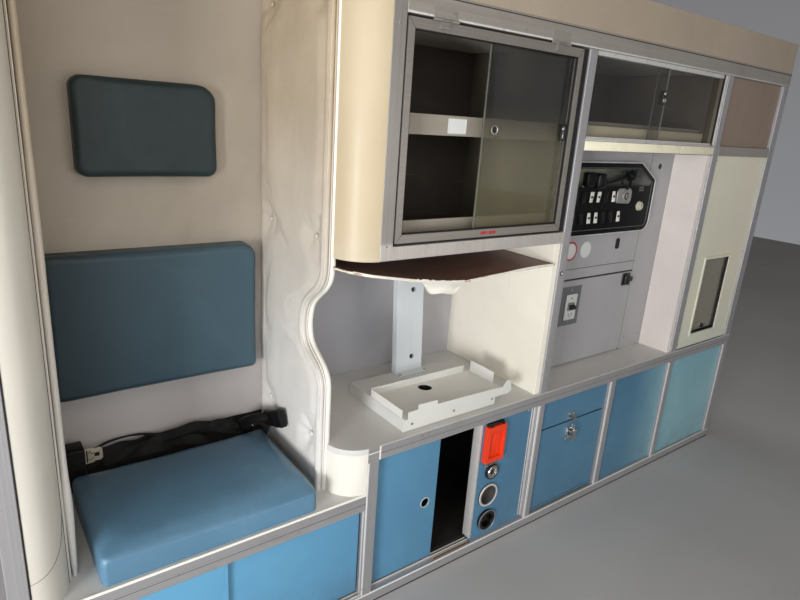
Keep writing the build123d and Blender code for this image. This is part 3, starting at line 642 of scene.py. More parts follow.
# node, material, bevel width in mm
CAD_LOOKS = (
    ("base_rail", ALU_X, 2.5), ("lower_floor", BOARD, 0.6), ("back_panel", BACKWALL, 0.8), ("posts", ALU_Z, 2.2),
    ("end_boards", BOARD, 0.8), ("edge_rails", ALU_X, 1.2), ("lower_dividers", BOARD, 0.8), ("partitions", PARTITION, 1.0),
    ("columns", COLUMN, 0.8), ("seat_deck", COUNTER, 0.8), ("alcove_sides", WHITE_BOARD, 1.0), ("seat_door_left", BLUE, 0.8),
    ("seat_door_right", BLUE, 0.8), ("slider_tracks", ALU_INNER, 0.3), ("countertop", COUNTER, 1.5), ("tray_plate", COUNTER, 1.5),
    ("equipment_tray", POWDER, 0.5), ("upright_bracket", BRACKET, 0.5), ("overhead_frame", ALU_UP_Z, 2.0),
    ("front_rails", ALU_UP_X, 2.0), ("header_panel", HEADER, 0.8), ("overhead_boards", OVERHEAD, 0.8),
    ("overhead_shelf", SHELF, 1.2), ("lift_hinge_leaves", ALU_LEAF, 0.3), ("lift_frame", ALU_LIFT_X, 1.0),
    ("slider_left", GLASS, 0.5), ("slider_right", GLASS, 0.5), ("slider_latch", CHROME, 1.0),
    ("bay_slider_left", GLASS, 0.5), ("bay_slider_right", GLASS, 0.5), ("bay_slider_latch", CHROME, 1.0),
    ("liner_panel", LINER, 0.5), ("bay_back_board", GREY_PANEL, 0.8), ("access_panels", GREY_PANEL, 0.7),
    ("control_panel", CONTROL, 2.0), ("access_door", GREY_PANEL, 0.6), ("outlet", OUTLET, 1.5), ("access_latch", BLACK, 2.0),
    ("sliding_door", BLUE, 0.6), ("socket_panel", BLUE, 0.6), ("small_socket", STEEL, 1.2), ("ring_port", PORT_GREY, 1.5),
    ("dark_port", DEEP_BLACK, 1.5), ("orange_handle", ORANGE, 3.0), ("drop_door", BLUE, 0.8), ("draw_latch", CHROME, 1.0),
    ("latch_keeper", CHROME, 1.0), ("lower_panels", BLUE, 0.6), ("end_panel", GREYGREEN, 0.9), ("flap", FLAP_GREY, 0.5),
    ("flap_knob", BLACK, 1.5), ("end_overhead_panel", MAUVE, 0.7), ("side_pads", SIDE_VINYL, 2.0), ("seat_cushion", SEAT_BLUE, 4.0),
    ("backrest", BACK_BLUE, 4.0), ("headrest", HEAD_TEAL, 4.0), ("belt_sleeve", DEEP_BLACK, 2.0), ("belt_tongue", BRASSY, 0.5),
    ("belt_webbing", BELT, 0.5), ("belt_buckle", DEEP_BLACK, 2.0))
for node, material, width in CAD_LOOKS:
    o = NODES[node]
    for s in o.material_slots:
        s.material = material
    weld = o.modifiers.new("weld", "WELD")
    weld.merge_threshold = 0.00001
    bev = o.modifiers.new("edge", "BEVEL")
    bev.width = width / 1000.0
    bev.segments = 2
    bev.limit_method = "ANGLE"
    bev.angle_limit = math.radians(38)
    bev.use_clamp_overlap = True
    wn = o.modifiers.new("normals", "WEIGHTED_NORMAL")
    wn.keep_sharp = False


# ======================================================================
# shapes
# ======================================================================
def rbox(x0, x1, y0, y1, z0, z1, r=1.0, seg=2):
    bm = bmesh.new()
    bmesh.ops.create_cube(bm, size=1)
    for v in bm.verts:
        v.co = Vector(((x0 + x1) / 2 + v.co.x * (x1 - x0), (y0 + y1) / 2 + v.co.y * (y1 - y0), (z0 + z1) / 2 + v.co.z * (z1 - z0)))
    if r > 0:
        bmesh.ops.bevel(bm, geom=bm.edges[:], offset=r, segments=seg, profile=0.5, affect="EDGES", clamp_overlap=True)
    bm.verts.index_update()
    out = [tuple(v.co) for v in bm.verts], [[v.index for v in f.verts] for f in bm.faces]
    bm.free()
    return out


def round_poly(pts, r, n=5):
    """Closed outline of 2D points with each corner rounded by r (or by r[i])."""
    out = []
    k = len(pts)
    for i in range(k):
        p, a, b = Vector(pts[i]), Vector(pts[i - 1]), Vector(pts[(i + 1) % k])
        rad = r[i] if isinstance(r, (list, tuple)) else r
        u, w = (a - p), (b - p)
        lu, lw = u.length, w.length
        u.normalize()
        w.normalize()
        half = math.acos(max(-1, min(1, u.dot(w)))) / 2
        if rad <= 0 or half > 1.55:
            out.append(tuple(p))
            continue
        d = min(rad / math.tan(half), lu * 0.49, lw * 0.49)
        rr = d * math.tan(half)
        c = p + (u + w).normalized() * (rr / math.sin(half))
        s, e = p + u * d - c, p + w * d - c
        a0, a1 = math.atan2(s.y, s.x), math.atan2(e.y, e.x)
        da = (a1 - a0 + math.pi) % (2 * math.pi) - math.pi
        for q in range(n + 1):
            t = a0 + da * q / n
            out.append((c.x + rr * math.cos(t), c.y + rr * math.sin(t)))
    return out


def rrect(x0, x1, z0, z1, r, n=5):
    return round_poly([(x0, z0), (x1, z0), (x1, z1), (x0, z1)], r, n)


def grow(outline, d):
    """Outline moved outwards by d (inwards if negative); outline runs counter-clockwise."""
    out = []
    k = len(outline)
    area = sum(outline[i - 1][0] * outline[i][1] - outline[i][0] * outline[i - 1][1] for i in range(k))
    sgn = 1 if area > 0 else -1
    for i in range(k):
        a, p, b = Vector(outline[i - 1]), Vector(outline[i]), Vector(outline[(i + 1) % k])
        e0, e1 = (p - a), (b - p)
        if e0.length < 1e-9:
            e0 = e1
        if e1.length < 1e-9:
            e1 = e0
        n0 = Vector((e0.y, -e0.x)).normalized()
        n1 = Vector((e1.y, -e1.x)).normalized()
        n = (n0 + n1)
        n = n.normalized() if n.length > 1e-6 else n0
        c = max(0.5, n.dot(n0))
        q = p + n * (sgn * d / c)
        out.append((q.x, q.y))
    return out


class Shape:
    """Collects solids in wall millimetres, then makes one piece of them."""

    def __init__(self):
        self.v, self.f, self.m = [], [], []

    def add(self, verts, faces, mat=0, move=None):
        base = len(self.v)
        if move is not None:
            verts = [tuple(move @ Vector(v)) for v in verts]
        self.v += [tuple(v) for v in verts]
        self.f += [[i + base for i in f] for f in faces]
        self.m += [mat] * len(faces)
        return self

    def box(self, x0, x1, y0, y1, z0, z1, mat=0, r=1.0, seg=2, move=None):
        v, f = rbox(x0, x1, y0, y1, z0, z1, r, seg)
        return self.add(v, f, mat, move)

    def loft(self, rings, mat=0, cap0=True, cap1=True, closed=True, move=None, loop=False):
        n = len(rings[0])
        v = [p for r in rings for p in r]
        f = []
        m = len(rings)
        for i in range(m if loop else m - 1):
            for j in range(n if closed else n - 1):
                a, b = i * n + j, i * n + (j + 1) % n
                c, d = ((i + 1) % m) * n + (j + 1) % n, ((i + 1) % m) * n + j
                f.append([a, b, c, d])
        if cap0 and not loop:
            f.append(list(range(n))[::-1])
        if cap1 and not loop:
            f.append([(m - 1) * n + j for j in range(n)])
        return self.add(v, f, mat, move)

    def prism(self, outline, y0, y1, mat=0, bevel=0.0, move=None, seg=3):
        """Outline of (x, z) from the front face y0 to the back y1, front edge rounded."""
        rings = []
        if bevel > 0:
            for q in range(seg + 1):
                t = math.pi / 2 * q / seg
                d = bevel * (1 - math.sin(t))
                rings.append([(x, y0 + bevel * (1 - math.cos(t)), z) for x, z in grow(outline, -d)])
            rings = rings[:]
        else:
            rings.append([(x, y0, z) for x, z in outline])
        rings.append([(x, y1, z) for x, z in outline])
        return self.loft(rings, mat, move=move)

    def ring(self, outer, inner, y0, y1, mat=0, bevel=0.0, move=None):
        """Closed frame between two outlines of the same number of points."""
        b = bevel
        rings = [
            [(x, y1, z) for x, z in outer], [(x, y0 + b, z) for x, z in outer], [(x, y0, z) for x, z in grow(outer, -b)],
            [(x, y0, z) for x, z in grow(inner, b)], [(x, y0 + b, z) for x, z in inner], [(x, y1, z) for x, z in inner]]
        return self.loft(rings, mat, loop=True, move=move)

    def lathe(self, c, prof, n=20, mat=0, axis="y", cap0=True, cap1=True, move=None):
        """prof has (radius, distance along the axis) from the front to the back; cap0 False makes a closed ring."""
        rings = []
        for r, d in prof:
            ring = []
            for k in range(n):
                a = 2 * math.pi * k / n
                ca, sa = r * math.cos(a), r * math.sin(a)
                if axis == "y":
                    ring.append((c[0] + ca, c[1] + d, c[2] + sa))
                elif axis == "x":
                    ring.append((c[0] + d, c[1] + ca, c[2] + sa))
                else:
                    ring.append((c[0] + ca, c[1] + sa, c[2] + d))
            rings.append(ring)
        return self.loft(rings, mat, cap0, cap1, move=move, loop=not cap0)

    def sweep(self, path, section, side, mat=0, cap=True, scale=None, loop=False):
        """section has (u, w): u along the side vector, w along side x tangent. side may be a function of index."""
        rings = []
        k = len(path)
        for i, p in enumerate(path):
            p = Vector(p)
            if loop:
                t = Vector(path[(i + 1) % k]) - Vector(path[i - 1])
            else:
                t = Vector(path[min(i + 1, k - 1)]) - Vector(path[max(i - 1, 0)])
            t.normalize()
            s = Vector(side(i) if callable(side) else side)
            s = (s - t * s.dot(t)).normalized()
            w = s.cross(t)
            q = scale(i) if scale else 1.0
            rings.append([tuple(p + s * (a * q) + w * (b * q)) for a, b in section])
        return self.loft(rings, mat, cap, cap, loop=loop)

    def tube(self, path, r, n=10, mat=0, loop=False, scale=None):
        t0 = Vector(path[1]) - Vector(path[0])
        ref = Vector((0, 0, 1)) if abs(t0.normalized().z) < 0.8 else Vector((1, 0, 0))
        sec = [(r * math.cos(2 * math.pi * j / n), r * math.sin(2 * math.pi * j / n)) for j in range(n)]
        return self.sweep(path, sec, ref, mat, True, scale, loop)

    def emit(self, name, mats, body="cabinet", slot=None, sharp=34, subsurf=0, bevel=0.0):
        me = bpy.data.meshes.new(name)
        me.from_pydata([P(*v) for v in self.v], [], self.f)
        for m in mats:
            me.materials.append(m)
        me.polygons.foreach_set("material_index", self.m)
        bm = bmesh.new()
        bm.from_mesh(me)
        bmesh.ops.remove_doubles(bm, verts=bm.verts, dist=2e-6)
        bmesh.ops.dissolve_degenerate(bm, edges=bm.edges, dist=1e-6)
        bmesh.ops.recalc_face_normals(bm, faces=bm.faces)
        for f in bm.faces:
            f.smooth = True
        bm.to_mesh(me)
        bm.free()
        me.set_sharp_from_angle(angle=math.radians(sharp))
        o = bpy.data.objects.new(name, me)
        COLL.objects.link(o)
        if bevel:
            b = o.modifiers.new("bevel", "BEVEL")
            b.width = bevel / 1000
            b.segments = 2
            b.limit_method = "ANGLE"
            b.angle_limit = math.radians(40)
        if subsurf:
            s = o.modifiers.new("sub", "SUBSURF")
            s.levels = s.render_levels = subsurf
        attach(o, body)
        return o


def circle(cx, cz, r, n=28):
    return [(cx + r * math.cos(2 * math.pi * k / n), cz + r * math.sin(2 * math.pi * k / n)) for k in range(n)]


def catmull(pts, n=8, loop=False):
    """Smooth path through the points."""
    pts = [Vector(p) for p in pts]
    k = len(pts)
    out = []
    for i in range(k if loop else k - 1):
        p0 = pts[i - 1] if (i > 0 or loop) else pts[0] * 2 - pts[1]
        p1, p2 = pts[i], pts[(i + 1) % k]
        p3 = pts[(i + 2) % k] if (i + 2 < k or loop) else pts[-1] * 2 - pts[-2]
        for q in range(n):
            t = q / n
            out.append(0.5 * ((2 * p1) + (p2 - p0) * t + (2 * p0 - 5 * p1 + 4 * p2 - p3) * t * t + (3 * p1 - p0 - 3 * p2 + p3) * t ** 3))
    if not loop:
        out.append(pts[-1])
    return [tuple(p) for p in out]


def gauss(d, w):
    return math.exp(-(d / w) ** 2)


# ======================================================================
# soft pieces
# ======================================================================
def temp_object(name, verts, faces):
    me = bpy.data.meshes.new(name)
    me.from_pydata([P(*v) for v in verts], [], faces)
    bm = bmesh.new()
    bm.from_mesh(me)
    bmesh.ops.remove_doubles(bm, verts=bm.verts, dist=1e-6)
    bmesh.ops.recalc_face_normals(bm, faces=bm.faces)
    bm.to_mesh(me)
    bm.free()
    me.update()
    o = bpy.data.objects.new(name, me)
    COLL.objects.link(o)
    return o


def baked(o):
    dg = bpy.context.evaluated_depsgraph_get()
    return bpy.data.meshes.new_from_object(o.evaluated_get(dg))


def drop(o):
    bpy.data.objects.remove(o, do_unlink=True)


def cloth(o, pins, pressure, frames=10, stiff=15.0, shrink=0.0, quality=4):
    """Runs a pressure cloth on o, vertices in pins held, and returns the new coordinates."""
    group = o.vertex_groups.new(name="pin")
    if pins:
        group.add(pins, 1.0, "REPLACE")
    c = o.modifiers.new("cloth", "CLOTH")
    s = c.settings
    s.quality = quality
    s.mass = 0.3
    s.tension_stiffness = s.compression_stiffness = stiff
    s.shear_stiffness = stiff * 0.4
    s.bending_stiffness = 0.6
    s.use_pressure = True
    s.uniform_pressure_force = pressure
    s.effector_weights.gravity = 0.0
    s.shrink_min = shrink
    if pins:
        s.vertex_group_mass = "pin"
    c.collision_settings.use_collision = False
    c.collision_settings.use_self_collision = False
    c.point_cache.frame_start = 1
    c.point_cache.frame_end = frames
    SCENE.frame_start, SCENE.frame_end = 1, frames
    for f in range(1, frames + 1):
        SCENE.frame_set(f)
    dg = bpy.context.evaluated_depsgraph_get()
    e = o.evaluated_get(dg)
    got = [v.co.copy() for v in e.data.vertices]
    o.modifiers.remove(c)
    SCENE.frame_set(1)
    return got


def soft_block(name, start, voxel, pressure, frames, cap, box, pin_test, shape, material, node, smooth=6, sub=1):
    """Block that swells under pressure, then gets its sewn lines; shape(v) moves a finished point (mm)."""
    tmp = temp_object(name + "_start", *start)
    rm = tmp.modifiers.new("remesh", "REMESH")
    rm.mode = "VOXEL"
    rm.voxel_size = voxel / 1000.0
    me = baked(tmp)
    drop(tmp)
    o = bpy.data.objects.new(name, me)
    COLL.objects.link(o)
    rest = [v.co.copy() for v in me.vertices]
    pins = [i for i, c in enumerate(rest) if pin_test(c.x * 1000 + 1511.5, c.y * 1000 + 242, c.z * 1000)]
    got = cloth(o, pins, pressure, frames)
    for v, a, b in zip(me.vertices, rest, got):
        d = b - a
        if not d.length < 1.0:
            d = Vector((0, 0, 0))
        if d.length > cap / 1000.0:
            d *= cap / 1000.0 / d.length
        v.co = a + d
    bm = bmesh.new()
    bm.from_mesh(me)
    for _ in range(smooth):
        bmesh.ops.smooth_vert(bm, verts=bm.verts, factor=0.5, use_axis_x=True, use_axis_y=True, use_axis_z=True)
    (x0, x1), (y0, y1), (z0, z1) = box
    for v in bm.verts:
        q = shape(v.co.x * 1000 + 1511.5, v.co.y * 1000 + 242, v.co.z * 1000)
        v.co = P(min(max(q[0], x0), x1), min(max(q[1], y0), y1), min(max(q[2], z0), z1))
    for f in bm.faces:
        f.smooth = True
    bmesh.ops.recalc_face_normals(bm, faces=bm.faces)
    bm.to_mesh(me)
    bm.free()
    me.materials.clear()
    me.materials.append(material)
    if sub:
        s = o.modifiers.new("sub", "SUBSURF")
        s.levels = s.render_levels = sub
    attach(o, "cabinet")
    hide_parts(node)
    return o


# seat cushion: soft rounded front edge, crowned top, corner tucks
def seat_shape(x, y, z):
    # front top edge rolls down further than the others
    k = gauss(y - 12, 72) * max(0.0, (z - 430) / 70)
    z -= (5 + 17 * min(max((x - 230) / 495.0, 0.0), 1.0)) * k * k
    # tuck seams at the vertical corners
    for cx, cy in ((176, 18), (719, 18)):
        d = math.hypot(x - cx, y - cy)
        if d < 26 and z < 488:
            s = 1.6 * gauss(d, 7)
            x += s if cx < 400 else -s
            y += s
    # a shallow sewn line round the sides
    if abs(z - 424) < 8 and (y < 30 or x < 186 or x > 709):
        s = 1.4 * gauss(z - 424, 2.6)
        x += s if x < 186 else (-s if x > 709 else 0)
        y += s if y < 30 else 0
    # slack dimples on the top
    if z > 480:
        z += 1.6 * noise.noise(Vector((x / 90, y / 90, 3.1)))
    return x, y, z


cushion = soft_block(
    "seat_cushion_pad", rbox(168.5, 728, 10.5, 394, 396, 492, 12, 4), 7.0, 4.0, 7, 9.0,
    ((170, 725), (12, 392), (414, 506)), lambda x, y, z: z < 418, seat_shape, SEAT_BLUE, "seat_cushion", 3)


def back_shape(x, y, z):
    if y < 446:
        y += 1.0 * noise.noise(Vector((x / 120, z / 120, 7.7)))
    # the cover tucks under the lower edge
    if z < 700:
        y += 2.0 * gauss(z - 693, 5)
    return x, y, z


def back_start():
    """Upright block with rounded corners and a crisp sewn rim round its face."""
    s = Shape()
    out = round_poly([(155, 686.5), (732.5, 686.5), (732.5, 1096.5), (155, 1096.5)], [26, 20, 50, 26], 8)
    rings = []
    for y, d in ((431.0, -14), (431.6, -9.5), (434.5, -4.4), (439, -1.4), (445, -0.2), (460, 0), (516, 0)):
        rings.append([(x, y, z) for x, z in grow(out, d)])
    s.loft(rings)
    return s.v, s.f


backrest = soft_block(
    "backrest_pad", back_start(), 7.0, 3.0, 7, 5.0,
    ((160, 728), (430, 492), (691, 1092)), lambda x, y, z: y > 488, back_shape, BACK_BLUE, "backrest", 4)


def head_start():
    """Plan outline with well rounded corners, full depth."""
    s = Shape()
    out = round_poly([(258.5, 1287.5), (623, 1287.5), (623, 1533.5), (258.5, 1539)], [32, 30, 48, 40], 8)
    rings = []
    for y, d in ((447.5, -15), (448.2, -10.5), (451, -5.0), (456, -1.6), (462, -0.2), (474, 0), (508, 0)):
        rings.append([(x, y, z) for x, z in grow(out, d)])
    s.loft(rings)
    return s.v, s.f


def head_shape(x, y, z):
    # pressed creases from worn use on the face
    if y < 456:
        for k in range(6):
            cx, cz = 400 + k * 22, 1420 + k * 2.5
            u = (x - cx) * 0.85 - (z - cz) * 0.52
            w = (x - cx) * 0.52 + (z - cz) * 0.85
            y += 1.0 * gauss(u, 4.0) * gauss(w, 30.0)
        y += 0.8 * noise.noise(Vector((x / 100, z / 100, 5.2)))
    return x, y, z


headrest = soft_block(
    "headrest_pad", head_start(), 6.0, 3.0, 8, 6.0,
    ((262, 620), (447, 492), (1290, 1535)), lambda x, y, z: y > 488, head_shape, HEAD_TEAL, "headrest", 3)


# ---- buttoned side pads -------------------------------------------------
def cad_front_edge(x_plane):
    """(z, y) of the alcove partition's front edge, read from its CAD mesh."""
    pts = {}
    for v in NODES["alcove_sides"].data.vertices:
        x, y, z = v.co.x * 1000 + 1511.5, v.co.y * 1000 + 242, v.co.z * 1000
        if abs(x - x_plane) < 0.2 and y < 215:
            pts[round(z, 2)] = y
    return sorted(pts.items())


EDGE = cad_front_edge(785.0)


def edge_at(z):
    if z <= EDGE[0][0]:
        return EDGE[0][1]
    for (z0, y0), (z1, y1) in zip(EDGE, EDGE[1:]):
        if z <= z1:
            return y0 + (y1 - y0) * (z - z0) / max(z1 - z0, 1e-6)
    return EDGE[-1][1]


def edge_path(x, dy, step=9.0, z0=414.0, z1=1898.0):
    """Path along the front edge, offset dy along the edge's normal in the y-z plane."""
    zs = []
    z = z0
    while z < z1 - 1:
        zs.append(z)
        z += step if (z < 715 or z > 1110) else step * 0.55
    zs.append(z1)
    out = []
    for z in zs:
        s = (edge_at(min(z + 6, z1)) - edge_at(max(z - 6, z0))) / 12.0
        n = Vector((1.0, -s)).normalized()          # (y, z)
        out.append((x, edge_at(z) + n.x * dy, z + n.y * dy))
    return out


BUTTONS = [(150.0, 575.0), (430.0, 575.0), (150.0, 1168.0), (430.0, 1168.0), (150.0, 1760.0), (430.0, 1760.0)]


def side_panel(name, x_back, sign, front, buttons, proud):
    """Padded sheet on a board: sign is the way it swells along x."""
    rows, cols = ((150, 40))
    verts, faces, pins = [], [], []
    for i in range(rows + 1):
        z = 414.5 + (1897.5 - 414.5) * i / rows
        y0 = front(z)
        for j in range(cols + 1):
            y = y0 + (491.5 - y0) * j / cols
            h = proud * 0.62
            border = min(i, rows - i, cols - j)
            if border == 0:
                h = proud * 0.45
            if j > cols - 4:
                h = max(h, proud * (0.62 + 0.06 * (j - cols + 4)))
            if j == 0:
                h = proud * 0.50
            pin = border == 0 or j == 0
            for by, bz in buttons:
                d = math.hypot(y - by, z - bz)
                h -= proud * 0.30 * gauss(d, 26)
                if d < 9:
                    pin = True
            verts.append((x_back + sign * h, y, z))
            if pin:
                pins.append(len(verts) - 1)
    for i in range(rows):
        for j in range(cols):
            a = i * (cols + 1) + j
            q = [a, a + 1, a + cols + 2, a + cols + 1]
            faces.append(q if sign < 0 else q[::-1])
    tmp = temp_object(name + "_start", verts, faces)
    bm = bmesh.new()
    bm.from_mesh(tmp.data)
    n = sum(f.normal.x for f in bm.faces)
    if n * sign < 0:
        bmesh.ops.reverse_faces(bm, faces=bm.faces)
        bm.to_mesh(tmp.data)
    bm.free()
    rest = [v.co.copy() for v in tmp.data.vertices]
    got = cloth(tmp, pins, 2.2, 8, 15.0, -0.007, 4)
    lo, hi = (x_back + sign * 2.0), (x_back + sign * (proud + 0.5))
    lo, hi = min(lo, hi), max(lo, hi)
    for k, (v, a, b) in enumerate(zip(tmp.data.vertices, rest, got)):
        d = b - a
        if not d.length < 1.0:
            d = Vector((0, 0, 0))
        if d.length > 0.012:
            d *= 0.012 / d.length
        q = a + d
        xm = min(max(q.x * 1000 + 1511.5, lo), hi)
        v.co = Vector(((xm - 1511.5) / 1000, q.y, q.z))
    # buttons pull the cover in, with creases that run out from them
    me = tmp.data
    for v in me.vertices:
        x, y, z = v.co.x * 1000 + 1511.5, v.co.y * 1000 + 242, v.co.z * 1000
        h = sign * (x - x_back)
        for q, (by, bz) in enumerate(buttons):
            d = math.hypot(y - by, z - bz)
            if d > 120:
                continue
            th = math.atan2(z - bz, y - by)
            g = gauss(d, 17)
            h = h * (1 - g) + 7.0 * g
            h -= 4.0 * gauss(d, 46) * (1 - g)
            star = 0.5 + 0.5 * math.cos(5 * th + q * 1.7 + 0.6 * math.sin(2 * th))
            h -= 5.4 * star ** 5 * gauss(d - 24, 30)
            star = 0.5 + 0.5 * math.cos(7 * th + q * 2.9 - 0.5 * math.sin(th))
            h -= 3.0 * star ** 6 * gauss(d - 34, 24)
        h += 0.5 * noise.noise(Vector((y / 60.0, z / 90.0, x_back)))
        v.co.x = (x_back + sign * max(h, 3.5) - 1511.5) / 1000
    # close the back so that it is a solid pad
    coords = [(v.co.x * 1000 + 1511.5, v.co.y * 1000 + 242, v.co.z * 1000) for v in me.vertices]
    quads = [list(p.vertices) for p in me.polygons]
    drop(tmp)
    s = Shape()
    s.add(coords, quads)
    rim = ([j for j in range(cols + 1)] + [i * (cols + 1) + cols for i in range(1, rows + 1)]
           + [rows * (cols + 1) + j for j in range(cols - 1, -1, -1)] + [i * (cols + 1) for i in range(rows - 1, 0, -1)])
    base = len(coords)
    s.add([(x_back + sign * 0.2, c[1], c[2]) for c in coords], [q[::-1] for q in quads])
    k = len(rim)
    for q in range(k):
        s.f.append([rim[q], rim[(q + 1) % k], base + rim[(q + 1) % k], base + rim[q]])
        s.m.append(0)
    o = s.emit(name, [SIDE_VINYL], slot="side_vinyl", sharp=60)
    sub = o.modifiers.new("sub", "SUBSURF")
    sub.levels = sub.render_levels = 1
    return o


right_pad = side_panel("right_side_pad", 785.0, -1, lambda z: edge_at(z) + 17, BUTTONS, 21.0)
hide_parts("side_pads")
left_pad = side_panel("left_side_pad", 118.0, 1, lambda z: 100.0, [(170.0, b) for a, b in BUTTONS[::2]] + [(430.0, b) for a, b in BUTTONS[::2]], 18.0)
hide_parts("side_pads")


def oval(ru, rw, n=14):
    return [(ru * math.cos(2 * math.pi * k / n), rw * math.sin(2 * math.pi * k / n)) for k in range(n)]


# rolled front edges of the pads, with a slack, uneven bulge
def slack(path, amount, seed):
    return [1.0 + amount * noise.noise(Vector((p[2] / 130.0, seed, 0.3))) + amount * 0.4 * noise.noise(Vector((p[2] / 38.0, seed + 5, 0.9)))
            for p in path]


roll_path = edge_path(774.2, 10.0)
roll_k = slack(roll_path, 0.07, 2.0)
s = Shape()
s.sweep(roll_path, oval(10.6, 11.5, 16), (1, 0, 0), 0, True, lambda i: roll_k[i])
right_roll = s.emit("right_pad_roll", [SIDE_VINYL], slot="side_vinyl", sharp=80)

left_path = [(127.5, 94.0 + 1.2 * noise.noise(Vector((z / 90.0, 4, 4))), z) for z in [414 + 8.0 * k for k in range(186)]]


def left_scale(i):
    z = left_path[i][2]
    return 0.90 + 0.42 * gauss(z - 590, 80) + 0.12 * gauss(z - 1230, 120) + 0.05 * noise.noise(Vector((z / 60.0, 9, 1))) - 0.25 * gauss(z - 414, 22)


s = Shape()
s.sweep(left_path, oval(8.0, 12.6, 16), (1, 0, 0), 0, True, left_scale)
left_roll = s.emit("left_pad_roll", [SIDE_VINYL], slot="side_vinyl", sharp=80)

# welts, trims and buttons
s = Shape()
s.sweep(edge_path(782.6, -1.5), oval(2.4, 3.2, 10), (1, 0, 0))
s.sweep(edge_path(766.5, 1.8), oval(1.6, 2.0, 8), (1, 0, 0))
s.emit("pad_welts", [SIDE_VINYL], slot="side_vinyl", sharp=80)
s = Shape()
half = [(9.4 * math.cos(math.pi * k / 8), -7.5 * math.sin(math.pi * k / 8)) for k in range(9)] + [(-9.4, 6.0), (9.4, 6.0)]
path = edge_path(794.2, 2.0)
rings = []
for i, p in enumerate(path):
    a, b = Vector(path[max(i - 1, 0)]), Vector(path[min(i + 1, len(path) - 1)])
    t = (b - a).normalized()
    n = Vector((0, t.z, -t.y))                       # into the wall, square to the edge
    if n.y < 0:
        n = -n
    rings.append([tuple(Vector(p) + Vector((u, 0, 0)) + n * w) for u, w in half])
s.loft(rings)
s.emit("partition_edge_trim", [WHITE_TRIM], slot="cream_column", sharp=50)

s = Shape()
for z0, z1 in ((414.0, 1898.0),):
    s.sweep([(104.0, 78.8, z0 + (z1 - z0) * k / 40) for k in range(41)], oval(3.6, 3.2, 10), (1, 0, 0))
    s.sweep([(113.6, 79.2, z0 + (z1 - z0) * k / 40) for k in range(41)], oval(2.6, 2.6, 10), (1, 0, 0))
s.emit("left_edge_welts", [SIDE_VINYL], slot="side_vinyl", sharp=80)

s = Shape()
for by, bz in BUTTONS:
    dome = [(0.4, -5.4), (3.4, -5.2), (6.2, -4.2), (7.8, -2.4), (8.0, 0.0), (7.0, 1.5)]
    s.lathe((776.6, by, bz), dome, 18, axis="x")
s.emit("pad_buttons", [SIDE_VINYL], slot="side_vinyl", sharp=60)

# ======================================================================
# seat belt
# ======================================================================
s = Shape()
boot = rbox(162, 215, 422, 477, 414.5, 548, 9, 3)
s.add(*boot)
s.box(164, 213, 419.8, 424, 432, 534, 1, 1.5)
for k in range(4):
    s.box(166, 211, 418.6, 421, 444 + k * 22, 450 + k * 22, 1, 1.0)
s.box(166, 212, 432, 470, 546, 551.5, 1, 2.0)
o = s.emit("belt_boot", [DEEP_BLACK, BELT], slot="black_plastic")
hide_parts("belt_sleeve")

s = Shape()
outer = round_poly([(216, 489), (238, 490), (240, 494), (256, 493), (261.5, 499), (261.5, 526), (256, 533), (240, 531), (237, 535.5), (216, 535.5)], 2.5, 3)
cx, cz = 246.5, 512.5
inner = []
for x, z in outer:
    a = math.atan2(z - cz, x - cx)
    m = max(abs(math.cos(a)), abs(math.sin(a)))
    inner.append((cx + 6.8 * math.cos(a) / m, cz + 6.8 * math.sin(a) / m))
s.ring(outer, inner, 440.0, 442.8, 0, 0.5)
s.prism(rrect(219, 222.5, 494, 531, 1.2, 3), 439.6, 440.2, 1)
s.tube(catmull([(224, 439.4, 520), (229, 438.8, 526), (234, 439.2, 517), (238, 438.9, 524)], 5), 0.8, 6, 1)
s.tube(catmull([(224, 439.4, 505), (230, 438.9, 499), (236, 439.2, 507)], 5), 0.8, 6, 1)
s.box(238.5, 254.5, 443.0, 444.2, 504.5, 520.5, 1, 0.5)
o = s.emit("belt_tongue_plate", [BRASSY, BLACK], slot="steel")
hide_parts("belt_tongue")


def ribbon(path, across, width, thick, mat=0, shape=None):
    """Flat strap along path; across(i) is its width direction."""
    shape = shape or Shape()
    h, w = thick / 2, width / 2
    sec = [(-w, -h), (-w * 0.5, -h * 1.05), (0, -h * 1.1), (w * 0.5, -h * 1.05), (w, -h), (w, h), (w * 0.5, h * 0.95), (0, h * 0.9), (-w * 0.5, h * 0.95), (-w, h)]
    shape.sweep(path, sec, across, mat)
    return shape


def turn(angles):
    def f(i):
        t = i / max(1, len(angles) - 1)
        a = math.radians(angles[i])
        return (0.0, math.sin(a), math.cos(a))
    return f


s = Shape()
p1 = catmull([(214, 452, 470), (250, 462, 486), (300, 470, 499), (352, 466, 503), (400, 472, 505), (452, 462, 502), (510, 468, 506),
              (560, 460, 503), (605, 466, 497), (650, 458, 482), (700, 452, 464)], 8)
a1 = [10 + 26 * math.sin(i * 0.16) + 14 * math.sin(i * 0.41 + 1) for i in range(len(p1))]
ribbon(p1, turn(a1), 30, 1.6, 0, s)
p2 = catmull([(262, 445, 478), (330, 450, 488), (385, 446, 500), (430, 450, 511), (478, 444, 518), (525, 451, 521), (562, 446, 516),
              (588, 450, 503), (620, 446, 490), (680, 440, 474)], 8)
a2 = [14 + 44 * gauss(i - 8, 12) + 40 * gauss(i - len(p2), 14) + 13 * math.sin(i * 0.33 + 2) for i in range(len(p2))]
ribbon(p2, turn(a2), 29, 1.6, 0, s)
p3 = catmull([(222, 464, 496), (244, 466, 514), (275, 468, 526), (318, 469, 531), (362, 468, 529), (405, 465, 520), (445, 460, 508)], 8)
a3 = [78 + 10 * math.sin(i * 0.3) for i in range(len(p3))]
ribbon(p3, turn(a3), 9, 1.8, 0, s)
